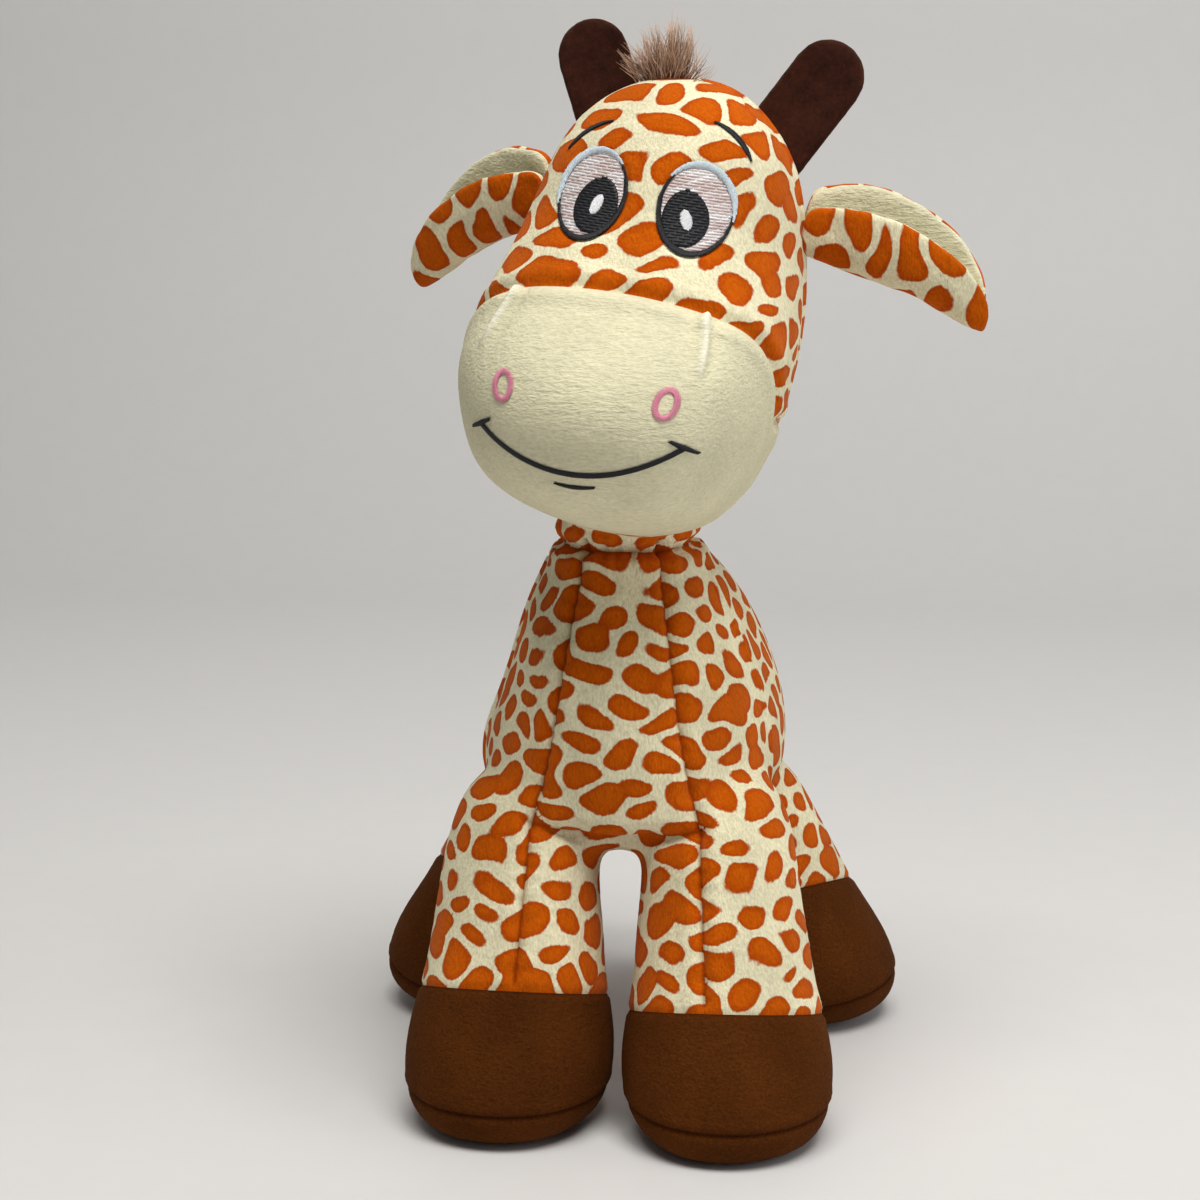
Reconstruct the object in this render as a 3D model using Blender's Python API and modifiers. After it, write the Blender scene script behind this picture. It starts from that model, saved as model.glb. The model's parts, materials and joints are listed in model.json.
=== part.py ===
"""Plush giraffe, modelled as the separate sewn and stuffed pieces that the real toy is made of.

Metres, +Z up. The toy stands on the plane z = 0 and looks along -Y. Its left side is +X.
Each stuffed piece is one closed solid that stands for its cover and the filling in it.
"""

import math

import bmesh
import bpy
from mathutils import Matrix, Vector
from mathutils.bvhtree import BVHTree

# Fits and cuts
SEAT_GAP = 0.0003
CUT_OVERRUN = 0.03
BALL_SEGMENTS = 20
BALL_RINGS = 10
SMALL_BALL_SEGMENTS = 12
SMALL_BALL_RINGS = 8

# Torso
BELLY_Z = 0.075
CHEST_REACH = 0.042
RUMP_REACH = 0.086
TORSO_HALF_WIDTH = 0.048
TORSO_SQUARENESS = 2.4
TORSO_POINTS = 16

# Height up the torso, chest reach, rump reach, place of the widest line, half width
TORSO_RING_SHARES = (
    (0.000, 0.45, 0.62, 0.40, 0.50),
    (0.057, 0.80, 0.88, 0.40, 0.80),
    (0.170, 0.97, 0.98, 0.40, 0.96),
    (0.318, 1.00, 0.98, 0.40, 0.97),
    (0.466, 0.94, 0.91, 0.39, 0.90),
    (0.614, 0.83, 0.79, 0.38, 0.79),
    (0.750, 0.71, 0.62, 0.34, 0.66),
    (0.875, 0.58, 0.40, 0.16, 0.51),
    (0.950, 0.48, 0.24, 0.02, 0.41),
    (1.000, 0.36, 0.16, 0.00, 0.30),
)

# Chest gusset, between the two front seams
GUSSET_TOP_HALF_WIDTH = 0.0115
GUSSET_LOW_HALF_WIDTH = 0.0235
GUSSET_THICKNESS = 0.009
GUSSET_SLOPE = math.radians(15.5)

# Neck
NECK_Z = 0.168
NECK_RADIUS = 0.0205

# Head, measured from the middle of the neck
HEAD_HEIGHT = 0.1270
MUZZLE_REACH = 0.0755
HEAD_BACK_REACH = 0.047
HEAD_HALF_WIDTH = 0.0465
HEAD_SQUARENESS = 2.35
HEAD_POINTS = 16
HEAD_TURN = math.radians(-8.0)
HEAD_TILT = math.radians(8.0)

# Height up the head, muzzle reach, back reach, place of the widest line, half width
HEAD_RING_SHARES = (
    (-0.002, 0.22, 0.24, 0.00, 0.20),
    (0.020, 0.42, 0.44, 0.04, 0.40),
    (0.064, 0.67, 0.69, 0.16, 0.63),
    (0.125, 0.87, 0.85, 0.26, 0.83),
    (0.225, 0.98, 0.94, 0.30, 0.94),
    (0.325, 1.00, 0.99, 0.30, 1.00),
    (0.420, 0.925, 1.00, 0.27, 0.99),
    (0.516, 0.78, 1.00, 0.20, 0.93),
    (0.611, 0.62, 0.98, 0.10, 0.86),
    (0.714, 0.515, 0.915, 0.02, 0.81),
    (0.817, 0.45, 0.81, 0.00, 0.735),
    (0.913, 0.345, 0.64, 0.00, 0.585),
    (0.976, 0.21, 0.42, 0.00, 0.37),
    (1.000, 0.08, 0.16, 0.00, 0.14),
)

# Seam between muzzle and head, seen from the side: forward reach and height
MUZZLE_SEAM_SHARES = (
    (1.30, 0.784),
    (0.66, 0.549),
    (0.49, 0.469),
    (0.385, 0.390),
    (0.345, 0.30),
    (0.32, 0.21),
    (0.23, 0.10),
    (0.20, -0.15),
    (1.30, -0.15),
)

# Heights on the head as shares of its height, so that they stay on it when it grows
EYE_HEIGHT_SHARE = 0.7365
LEFT_BROW_HEIGHT_SHARE = 0.894
RIGHT_BROW_HEIGHT_SHARE = 0.866
NOSTRIL_HEIGHT_SHARE = 0.350
MOUTH_HEIGHT_SHARE = 0.263
EAR_HEIGHT_SHARE = 0.722
HORN_ROOT_HEIGHT_SHARE = 0.630

# Embroidery, as pads of thread on the face: thickness, then places and sizes seen from the front
THREAD_THICKNESS = 0.0008
EYE_MIDDLE_X = -0.0006
EYE_X = 0.01425
EYE_HALF_WIDTH = 0.0095
EYE_HALF_HEIGHT = 0.0117
LEFT_EYE_LEAN = math.radians(-15.0)
RIGHT_EYE_LEAN = math.radians(-11.0)
PUPIL_HALF_WIDTH = 0.0061
PUPIL_HALF_HEIGHT = 0.0075
PUPIL_IN = 0.0021
PUPIL_DOWN = 0.0027
BROW_X = 0.0202
BROW_RADIUS = 0.018
BROW_SPAN = math.radians(48.0)
BROW_LEAN = math.radians(38.0)
LINE_WIDTH = 0.0014
MUZZLE_ASKEW = math.radians(-3.1)
MUZZLE_MIDDLE_X = -0.0017
NOSTRIL_X = 0.0219
NOSTRIL_HALF_WIDTH = 0.0030
NOSTRIL_HALF_HEIGHT = 0.0042
NOSTRIL_LINE = 0.0014
MOUTH_HALF_WIDTH = 0.0278
MOUTH_DROP = 0.0096
LIP_HALF_WIDTH = 0.0055
LIP_BELOW_MOUTH = 0.0030
LIP_DROP = 0.0006
ARC_STEPS = 14

# Ears, folded leaves hung on the side seams
EAR_PLACE = 0.004
EAR_SINK = 0.0003
EAR_BALL_RADIUS = 0.0064
EAR_LENGTH = 0.0560
EAR_HALF_THICKNESS = 0.0068
EAR_DEPTH = 0.0215
EAR_DROOP = 0.0165
EAR_COVER = 0.0022
EAR_LINING = 0.0014
LEFT_EAR_SWEEP = math.radians(12.0)
RIGHT_EAR_SWEEP = math.radians(23.0)
LEFT_EAR_FALL = math.radians(1.5)
RIGHT_EAR_FALL = math.radians(17.5)
LEFT_EAR_ROLL = math.radians(4.0)
RIGHT_EAR_ROLL = math.radians(14.0)

# Length along the ear, half thickness and depth of the fold
EAR_LEAF_SHARES = (
    (0.00, 0.34, 0.20),
    (0.14, 0.42, 0.50),
    (0.24, 0.88, 0.98),
    (0.45, 1.00, 1.03),
    (0.66, 1.00, 0.94),
    (0.86, 0.90, 0.86),
    (1.00, 0.50, 0.40),
)

# Across and up the fold, from the front edge round the bottom to the taller back edge
EAR_FOLD_SHARES = (
    (-0.95, 0.90),
    (-1.00, 0.18),
    (0.00, 0.00),
    (1.00, 0.20),
    (1.10, 1.18),
)
EAR_LINING_ROWS = (1, 6)
EAR_LINING_SPAN_SHARES = (0.25, 0.77)

# Horns, flat felt with a round end
HORN_PLACE = 0.006
LEFT_HORN_ROOT_ANGLE = math.radians(39.5)
RIGHT_HORN_ROOT_ANGLE = math.radians(32.0)
LEFT_HORN_LENGTH = 0.0325
RIGHT_HORN_LENGTH = 0.0235
HORN_WIDTH = 0.0194
FELT_THICKNESS = 0.0022
HORN_BEAD_RADIUS = 0.0018
LEFT_HORN_LEAN = math.radians(30.0)
RIGHT_HORN_LEAN = math.radians(-25.5)

# Forelock, clumps of long pile on a small backing
FORELOCK_X = -0.0045
FORELOCK_PLACE = -0.003
FORELOCK_BASE_RADIUS = 0.0075
FORELOCK_BASE_HEIGHT = 0.0022
FORELOCK_LENGTH = 0.0165
CLUMP_RADIUS = 0.0030
CLUMP_TIP_SHARE = 0.12
CLUMP_SIDES = 6

# Sideways lean and forward lean in degrees, length, and place across the base
CLUMP_SHARES = (
    (-62.0, 12.0, 0.95, -0.55),
    (-44.0, -6.0, 0.85, -0.45),
    (-27.0, 10.0, 1.00, -0.25),
    (-12.0, -12.0, 0.92, -0.10),
    (2.0, 8.0, 1.00, 0.10),
    (18.0, -8.0, 0.85, 0.30),
    (38.0, 6.0, 0.70, 0.45),
    (-8.0, 34.0, 0.75, 0.00),
    (0.0, -36.0, 0.80, 0.00),
)

# Legs
HIP_RADIUS = 0.0218
FRONT_HIP_X = 0.0280
FRONT_HIP_Y = -0.0185
FRONT_HIP_Z = 0.0840
REAR_HIP_X = 0.0290
REAR_HIP_Y = 0.0470
REAR_HIP_Z = 0.0770
LEFT_FRONT_FOOT_X = 0.0333
LEFT_FRONT_FOOT_Y = -0.0418
RIGHT_FRONT_FOOT_X = 0.0318
RIGHT_FRONT_FOOT_Y = -0.0350
LEFT_REAR_FOOT_X = 0.0575
LEFT_REAR_FOOT_Y = 0.0710
RIGHT_REAR_FOOT_X = 0.0605
RIGHT_REAR_FOOT_Y = 0.0700
FRONT_TOE_OUT = math.radians(3.0)
FRONT_TILT_SHARE = 0.0
FRONT_SEAM_TILT = math.radians(18.0)
REAR_TOE_OUT = math.radians(24.0)
REAR_TILT_SHARE = 0.35
REAR_SEAM_TILT = math.radians(24.0)
LEG_POINTS = 10
LEG_SQUARENESS = 2.1
LEG_SWING_ROOM = math.radians(20.0)
HOOF_HALF_WIDTH = 0.0300
HOOF_FRONT_REACH = 0.0315
HOOF_BACK_REACH = 0.0270
HOOF_HEIGHT = 0.0430
LEFT_FRONT_SEAM_Z = 0.0342
RIGHT_FRONT_SEAM_Z = 0.0370
LEFT_REAR_SEAM_Z = 0.0410
RIGHT_REAR_SEAM_Z = 0.0450
SOLE_HEIGHT = 0.0116
SOLE_FLAT_DEPTH = 0.0005

# Place down the sleeve, then width and reach
SLEEVE_RING_SHARES = (
    (-0.28, 0.52, 0.52),
    (0.00, 0.74, 0.72),
    (0.36, 0.775, 0.75),
    (0.72, 0.845, 0.81),
)

# Place down the hoof, then width and reach
HOOF_RING_SHARES = (
    (0.00, 0.915, 0.89),
    (0.28, 0.99, 0.98),
    (0.55, 1.02, 1.02),
    (0.76, 0.98, 0.98),
    (0.92, 0.85, 0.85),
    (1.00, 0.62, 0.62),
)

# Tail
TAIL_Z = 0.098
TAIL_BALL_RADIUS = 0.0052
TAIL_LENGTH = 0.060
TAIL_HALF_WIDTH = 0.0075
TAIL_HALF_THICKNESS = 0.0062
TAIL_LIFT = math.radians(42.0)
TAIL_TUFT_SHARE = 0.62
TAIL_POINTS = 8
TAIL_SQUARENESS = 2.0

# Place down the tail, then width and thickness
TAIL_RING_SHARES = (
    (0.00, 0.50, 0.46),
    (0.30, 0.68, 0.54),
    (0.56, 0.70, 0.60),
    (0.68, 0.92, 0.94),
    (0.82, 1.00, 1.00),
    (0.93, 0.66, 0.66),
    (1.00, 0.16, 0.16),
)

# Places that follow from the sizes above
EYE_HEIGHT = EYE_HEIGHT_SHARE * HEAD_HEIGHT
NOSTRIL_HEIGHT = NOSTRIL_HEIGHT_SHARE * HEAD_HEIGHT
MOUTH_HEIGHT = MOUTH_HEIGHT_SHARE * HEAD_HEIGHT
EAR_HEIGHT = EAR_HEIGHT_SHARE * HEAD_HEIGHT
HORN_ROOT_HEIGHT = HORN_ROOT_HEIGHT_SHARE * HEAD_HEIGHT

# Colours and roughness from the photograph
COLOURS = {
    "spotted_plush": ((0.72, 0.36, 0.13, 1.0), 0.95),
    "cream_plush": ((0.83, 0.79, 0.62, 1.0), 0.95),
    "hoof_plush": ((0.14, 0.055, 0.022, 1.0), 0.95),
    "horn_felt": ((0.040, 0.013, 0.008, 1.0), 0.98),
    "long_pile": ((0.28, 0.15, 0.08, 1.0), 0.90),
    "white_thread": ((0.80, 0.78, 0.78, 1.0), 0.50),
    "black_thread": ((0.010, 0.010, 0.014, 1.0), 0.50),
    "pink_thread": ((0.80, 0.34, 0.46, 1.0), 0.50),
}


def clear_scene():
    """Take every object out of the open file."""
    for item in list(bpy.data.objects):
        bpy.data.objects.remove(item)


def new_collection(name):
    """Make a collection and link it to the scene."""
    collection = bpy.data.collections.new(name)
    bpy.context.scene.collection.children.link(collection)
    return collection


def make_materials():
    """One Principled material for each kind of cloth and thread."""
    materials = {}
    for name, (colour, roughness) in COLOURS.items():
        material = bpy.data.materials.new(name)
        material.use_nodes = True
        shader = material.node_tree.nodes["Principled BSDF"]
        shader.inputs["Base Color"].default_value = colour
        shader.inputs["Roughness"].default_value = roughness
        shader.inputs["Metallic"].default_value = 0.0
        material.diffuse_color = colour
        materials[name] = material
    return materials


clear_scene()
TOY = new_collection("plush_giraffe")
CUTTERS = new_collection("cutters")
MATERIALS = make_materials()


def link_piece(name, mesh, material, parent=None):
    """Put a mesh in the toy's collection as one named piece."""
    piece = bpy.data.objects.new(name, mesh)
    TOY.objects.link(piece)
    if material not in [slot.name for slot in mesh.materials]:
        mesh.materials.append(MATERIALS[material])
    piece.parent = parent
    return piece


def link_cutter(name, mesh, parent=None):
    """Put a mesh in the cutters' collection, as a wire that isn't rendered."""
    cutter = bpy.data.objects.new(name, mesh)
    CUTTERS.objects.link(cutter)
    cutter.display_type = "WIRE"
    cutter.hide_render = True
    cutter.parent = parent
    return cutter


def joint_empty(name, matrix, parent=None):
    """An empty on a joint's axis, which carries the pieces that move with it."""
    empty = bpy.data.objects.new(name, None)
    TOY.objects.link(empty)
    empty.empty_display_size = HIP_RADIUS
    empty.parent = parent
    empty.matrix_local = matrix
    return empty


def smooth_shape(piece, levels=1):
    """Round a coarse cage with Subdivision Surface, the same in the viewport and the render."""
    modifier = piece.modifiers.new("round", "SUBSURF")
    modifier.levels = levels
    modifier.render_levels = levels
    piece.data.shade_smooth()
    return piece


def boolean(piece, operation, cutter):
    """Cut, keep or join a piece with another closed shape."""
    modifier = piece.modifiers.new(cutter.name, "BOOLEAN")
    modifier.operation = operation
    modifier.solver = "EXACT"
    modifier.object = cutter
    return modifier


def signed_power(value, power):
    """A power that keeps its sign, for superellipse outlines."""
    return math.copysign(abs(value) ** power, value)


def egg_ring(height, front, back, widest, half_width, squareness, count):
    """A level closed outline, wider at one place than at its ends.

    The outline is pushed out so that the smoothed ring has the named reaches.
    """
    outset = 1.0 / math.cos(math.pi / count)
    power = 2.0 / squareness
    ring = []
    for step in range(count):
        angle = 2.0 * math.pi * step / count
        across = signed_power(math.sin(angle), power) * half_width * outset
        along = signed_power(math.cos(angle), power) * outset
        reach = back - widest if along > 0.0 else front + widest
        ring.append(Vector((across, widest + along * reach, height)))
    return ring


def loft_mesh(name, rings):
    """Skin a stack of rings with the same number of points and close both ends."""
    shape = bmesh.new()
    rows = []
    for ring in rings:
        rows.append([shape.verts.new(point) for point in ring])
    for low, high in zip(rows, rows[1:]):
        for step in range(len(low)):
            following = (step + 1) % len(low)
            shape.faces.new((low[step], low[following], high[following], high[step]))
    shape.faces.new(rows[0])
    shape.faces.new(rows[-1])
    bmesh.ops.recalc_face_normals(shape, faces=shape.faces)
    mesh = bpy.data.meshes.new(name)
    shape.to_mesh(mesh)
    shape.free()
    return mesh


def ball_counts(radius):
    """Segments and rings of a ball: fewer for a small one."""
    if radius < HIP_RADIUS / 2.0:
        return SMALL_BALL_SEGMENTS, SMALL_BALL_RINGS
    return BALL_SEGMENTS, BALL_RINGS


def ball_mesh(name, radius):
    """A ball with the same counts as the seat that it turns in."""
    segments, rings = ball_counts(radius)
    shape = bmesh.new()
    bmesh.ops.create_uvsphere(shape, u_segments=segments, v_segments=rings, radius=radius)
    mesh = bpy.data.meshes.new(name)
    shape.to_mesh(mesh)
    shape.free()
    mesh.shade_smooth()
    return mesh


def seat_radius(radius):
    """Radius of a faceted seat in which a faceted ball of the given radius turns freely."""
    segments, rings = ball_counts(radius)
    around = math.cos(math.pi / segments)
    over = math.cos(math.pi / (2.0 * rings))
    return (radius + SEAT_GAP) / (around * over)


def cone_mesh(name, low_radius, high_radius, length, sides):
    """A cone or a cylinder along Z with its middle at the origin."""
    shape = bmesh.new()
    bmesh.ops.create_cone(
        shape, cap_ends=True, segments=sides, radius1=low_radius, radius2=high_radius, depth=length
    )
    mesh = bpy.data.meshes.new(name)
    shape.to_mesh(mesh)
    shape.free()
    return mesh


def box_mesh(name, low, high):
    """A box between two corners."""
    shape = bmesh.new()
    bmesh.ops.create_cube(shape, size=1.0)
    size = Vector(high) - Vector(low)
    middle = (Vector(high) + Vector(low)) / 2.0
    bmesh.ops.scale(shape, vec=size, verts=shape.verts)
    bmesh.ops.translate(shape, vec=middle, verts=shape.verts)
    mesh = bpy.data.meshes.new(name)
    shape.to_mesh(mesh)
    shape.free()
    return mesh


def outline_mesh(name, points, half_depth, holes=()):
    """A flat outline drawn as a filled 2D curve and extruded both ways along its own Z."""
    curve = bpy.data.curves.new(name, "CURVE")
    curve.dimensions = "2D"
    curve.fill_mode = "BOTH"
    curve.extrude = half_depth
    curve.resolution_u = 1
    curve.render_resolution_u = 0
    for loop in (points, *holes):
        spline = curve.splines.new("POLY")
        spline.points.add(len(loop) - 1)
        for target, (across, up) in zip(spline.points, loop):
            target.co = (across, up, 0.0, 1.0)
        spline.use_cyclic_u = True
    drawn = bpy.data.objects.new(name, curve)
    bpy.context.scene.collection.objects.link(drawn)
    graph = bpy.context.evaluated_depsgraph_get()
    mesh = bpy.data.meshes.new_from_object(drawn.evaluated_get(graph))
    bpy.data.objects.remove(drawn)
    shape = bmesh.new()
    shape.from_mesh(mesh)
    bmesh.ops.remove_doubles(shape, verts=shape.verts, dist=SEAT_GAP / 10.0)
    bmesh.ops.recalc_face_normals(shape, faces=shape.faces)
    shape.to_mesh(mesh)
    shape.free()
    mesh.name = name
    return mesh


def facing_forward():
    """Turn a flat outline so that its own up is +Z and its depth runs along Y."""
    return Matrix.Rotation(math.radians(90.0), 4, "X")


def surface_hit(form, start, direction):
    """The outermost point and normal of a form along a ray from inside it, in the form's own frame."""
    graph = bpy.context.evaluated_depsgraph_get()
    tree = BVHTree.FromObject(form, graph)
    point, normal, _, _ = tree.ray_cast(Vector(start), Vector(direction).normalized())
    return point, normal


def torso_form(name):
    """The whole stuffed torso, before the gusset, neck and legs are cut from it."""
    rings = []
    for height, front, back, widest, width in TORSO_RING_SHARES:
        rings.append(
            egg_ring(
                BELLY_Z + height * (NECK_Z - BELLY_Z),
                front * CHEST_REACH,
                back * RUMP_REACH,
                widest * RUMP_REACH,
                width * TORSO_HALF_WIDTH,
                TORSO_SQUARENESS,
                TORSO_POINTS,
            )
        )
    return loft_mesh(name, rings)


def head_form(name, outset=0.0):
    """The whole stuffed head with its muzzle, or the same form grown by an outset."""
    rings = []
    for height, front, back, widest, width in HEAD_RING_SHARES:
        rings.append(
            egg_ring(
                height * (HEAD_HEIGHT + outset),
                front * MUZZLE_REACH + outset,
                back * HEAD_BACK_REACH + outset,
                -widest * MUZZLE_REACH,
                width * HEAD_HALF_WIDTH + outset,
                HEAD_SQUARENESS,
                HEAD_POINTS,
            )
        )
    return loft_mesh(name, rings)


def gusset_mesh(name, growth):
    """The wedge between the two chest seams, in its own plane, grown all round by a clearance."""
    length = NECK_Z + CUT_OVERRUN
    low = GUSSET_LOW_HALF_WIDTH + growth
    top = GUSSET_TOP_HALF_WIDTH + growth
    seam_span = NECK_Z - BELLY_Z
    spread = (low - top) / seam_span
    foot = low + spread * BELLY_Z
    head = low - spread * (length - BELLY_Z)
    points = [(-foot, 0.0), (foot, 0.0), (head, length), (-head, length)]
    depth = GUSSET_THICKNESS + CHEST_REACH + growth
    return outline_mesh(name, points, depth / 2.0)


def gusset_matrix(growth):
    """Place of the wedge: its back face lies one thickness behind the chest line."""
    depth = GUSSET_THICKNESS + CHEST_REACH + growth
    back_face = GUSSET_THICKNESS - CHEST_REACH + growth
    slope = Matrix.Rotation(-GUSSET_SLOPE, 4, "X")
    lift = Matrix.Translation((0.0, 0.0, BELLY_Z))
    slide = Matrix.Translation((0.0, back_face - depth / 2.0, -BELLY_Z))
    return lift @ slope @ slide @ facing_forward()


def build_neck():
    """The stuffed neck, a ball seated in the torso and in the head."""
    turn = joint_empty("neck_turn", Matrix.Translation((0.0, 0.0, NECK_Z)))
    link_piece("neck", ball_mesh("neck", NECK_RADIUS), "spotted_plush", turn)
    seat = link_cutter("neck_seat", ball_mesh("neck_seat", seat_radius(NECK_RADIUS)), turn)
    pose = Matrix.Rotation(HEAD_TURN, 4, "Z") @ Matrix.Rotation(HEAD_TILT, 4, "Y")
    nod = joint_empty("head_nod", pose, turn)
    return seat, nod


def leg_rings(length, drift):
    """Rings of a leg from inside the hip down to the sole, in the leg's own frame.

    The drift is how far the leg's middle moves sideways for each metre down.
    """
    sleeve = length - HOOF_HEIGHT
    places = []
    for place, width, reach in SLEEVE_RING_SHARES:
        places.append((place * sleeve, width, reach))
    for place, width, reach in HOOF_RING_SHARES:
        places.append((sleeve + place * HOOF_HEIGHT, width, reach))
    rings = []
    for down, width, reach in places:
        ring = egg_ring(
            -down,
            reach * HOOF_FRONT_REACH,
            reach * HOOF_BACK_REACH,
            0.0,
            width * HOOF_HALF_WIDTH,
            LEG_SQUARENESS,
            LEG_POINTS,
        )
        rings.append([point + drift * down for point in ring])
    return rings


def leg_matrix(hip, foot, toe_out, tilt, side):
    """Frame of a leg at its hip, with -Y to the toe, and the drift of the leg's middle in it.

    With no tilt the rings lie level, and with a full tilt they lie square to the leg.
    """
    start = Vector((side * hip[0], hip[1], hip[2]))
    end = Vector((side * foot[0], foot[1], 0.0))
    up = Vector((0.0, 0.0, 1.0)).lerp((start - end).normalized(), tilt).normalized()
    heel = Vector((-side * math.sin(toe_out), math.cos(toe_out), 0.0))
    heel = (heel - up * heel.dot(up)).normalized()
    across = heel.cross(up)
    matrix = Matrix((across, heel, up)).transposed().to_4x4()
    matrix.translation = start
    foot_place = matrix.inverted() @ end
    drift = Vector((foot_place.x, foot_place.y, 0.0)) / -foot_place.z
    return matrix, drift


def leg_length(name, matrix, drift):
    """Length at which the smoothed sole dips under the floor by the depth of its flat."""
    length = matrix.translation.z
    trial = smooth_shape(link_cutter(name, loft_mesh(name, leg_rings(length, drift))))
    trial.matrix_world = matrix
    graph = bpy.context.evaluated_depsgraph_get()
    rounded = trial.evaluated_get(graph).to_mesh()
    lowest = min((matrix @ vertex.co).z for vertex in rounded.vertices)
    bpy.data.objects.remove(trial)
    slope = matrix.col[2].z - (matrix.to_3x3() @ drift).z
    return length + (lowest + SOLE_FLAT_DEPTH) / slope


def half_space(name, size, height, tilt, above, parent):
    """A big box on one side of a plane across a leg, whose front edge is raised by a tilt."""
    low, high = (0.0, 2.0 * size) if above else (-2.0 * size, 0.0)
    half = link_cutter(name, box_mesh(name, (-size, -size, low), (size, size, high)), parent)
    half.matrix_local = Matrix.Translation((0.0, 0.0, height)) @ Matrix.Rotation(-tilt, 4, "X")
    return half


def build_leg(name, hip, foot, toe_out, tilt, seam, side):
    """Sleeve, hoof and sole of one leg, and the two shapes that its hip cuts from the torso."""
    matrix, drift = leg_matrix(hip, foot, toe_out, tilt, side)
    length = leg_length(name + "_trial", matrix, drift)
    swing = joint_empty(name + "_swing", matrix)
    ball = link_cutter(name + "_ball", ball_mesh(name + "_ball", HIP_RADIUS), swing)
    seat = link_cutter(name + "_seat", ball_mesh(name + "_seat", seat_radius(HIP_RADIUS)), swing)
    narrow = seat_radius(HIP_RADIUS)
    wide = narrow + HIP_RADIUS * math.tan(LEG_SWING_ROOM)
    way_mesh = cone_mesh(name + "_way", wide, narrow, HIP_RADIUS, BALL_SEGMENTS)
    way_mesh.transform(Matrix.Translation((0.0, 0.0, -HIP_RADIUS / 2.0)))
    way = link_cutter(name + "_way", way_mesh, swing)
    upright = Vector((0.0, 0.0, 1.0))
    way.matrix_local = upright.rotation_difference(upright - drift).to_matrix().to_4x4()

    seam_height, seam_tilt = seam
    hoof_top = seam_height - length
    sole_top = SOLE_HEIGHT - length
    half_gap = SEAT_GAP / 2.0
    floor = link_cutter(
        name + "_floor",
        box_mesh(name + "_floor", (-length, -length, -length), (length, length, 0.0)),
    )
    floor.location = (matrix.translation.x, matrix.translation.y, 0.0)
    drift_at_seam = drift * -hoof_top
    rise = drift_at_seam.y * math.tan(seam_tilt)
    kinds = {
        "sleeve": ("spotted_plush", [(hoof_top + rise + half_gap, seam_tilt, True)]),
        "hoof": (
            "hoof_plush",
            [(hoof_top + rise - half_gap, seam_tilt, False), (sole_top + half_gap, 0.0, True)],
        ),
        "sole": ("hoof_plush", [(sole_top - half_gap, 0.0, False)]),
    }
    for kind, (material, planes) in kinds.items():
        piece_name = name + "_" + kind
        mesh = loft_mesh(piece_name, leg_rings(length, drift))
        piece = smooth_shape(link_piece(piece_name, mesh, material, swing))
        if kind == "sleeve":
            boolean(piece, "UNION", ball)
        for number, (height, plane_tilt, above) in enumerate(planes):
            half_name = "%s_half_%d" % (piece_name, number)
            half = half_space(half_name, length, height, plane_tilt, above, swing)
            boolean(piece, "INTERSECT", half)
        if kind != "sleeve":
            boolean(piece, "DIFFERENCE", floor)
    return seat, way


def tail_form(name):
    """The whole tail with its tuft, hanging along -Z from its root."""
    rings = []
    for place, width, thickness in TAIL_RING_SHARES:
        reach = thickness * TAIL_HALF_THICKNESS
        half_width = width * TAIL_HALF_WIDTH
        ring = egg_ring(-place * TAIL_LENGTH, reach, reach, 0.0, half_width, TAIL_SQUARENESS, TAIL_POINTS)
        rings.append(ring)
    return loft_mesh(name, rings)


def build_tail(torso):
    """A short sewn tail, split from its tuft, and the seat that its root cuts from the torso."""
    root, _ = surface_hit(torso, (0.0, 0.0, TAIL_Z), (0.0, 1.0, 0.0))
    swing = joint_empty("tail_swing", Matrix.Translation(root) @ Matrix.Rotation(TAIL_LIFT, 4, "X"))
    ball = link_cutter("tail_ball", ball_mesh("tail_ball", TAIL_BALL_RADIUS), swing)
    seat = link_cutter("tail_seat", ball_mesh("tail_seat", seat_radius(TAIL_BALL_RADIUS)), swing)
    split = -TAIL_TUFT_SHARE * TAIL_LENGTH
    half_gap = SEAT_GAP / 2.0
    reach = TAIL_HALF_WIDTH + CUT_OVERRUN
    spans = {
        "tail": (split + half_gap, reach, "spotted_plush"),
        "tail_tuft": (-TAIL_LENGTH - reach, split - half_gap, "long_pile"),
    }
    for name, (low, high, material) in spans.items():
        piece = smooth_shape(link_piece(name, tail_form(name), material, swing))
        slab_name = name + "_slab"
        slab_mesh = box_mesh(slab_name, (-reach, -reach, low), (reach, reach, high))
        slab = link_cutter(slab_name, slab_mesh, swing)
        if name == "tail":
            boolean(piece, "UNION", ball)
        boolean(piece, "INTERSECT", slab)
    return seat


def build_torso(neck_seat, leg_cuts):
    """Torso and chest gusset, with the seats of the neck, the legs and the tail cut out of them."""
    torso = smooth_shape(link_piece("torso", torso_form("torso"), "spotted_plush"))
    tail_seat = build_tail(torso)
    panel = smooth_shape(link_piece("chest_gusset", torso_form("chest_gusset"), "spotted_plush"))
    wedge = link_cutter("gusset_wedge", gusset_mesh("gusset_wedge", 0.0))
    wedge.matrix_world = gusset_matrix(0.0)
    room = link_cutter("gusset_room", gusset_mesh("gusset_room", SEAT_GAP))
    room.matrix_world = gusset_matrix(SEAT_GAP)
    boolean(panel, "INTERSECT", wedge)
    boolean(torso, "DIFFERENCE", room)
    for piece in (torso, panel):
        boolean(piece, "DIFFERENCE", neck_seat)
        for seat, way in leg_cuts:
            boolean(piece, "DIFFERENCE", seat)
            boolean(piece, "DIFFERENCE", way)
    boolean(torso, "DIFFERENCE", tail_seat)


def ellipse_points(half_width, half_height, count=24):
    """Points round an ellipse."""
    points = []
    for step in range(count):
        angle = 2.0 * math.pi * step / count
        points.append((half_width * math.cos(angle), half_height * math.sin(angle)))
    return points


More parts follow.
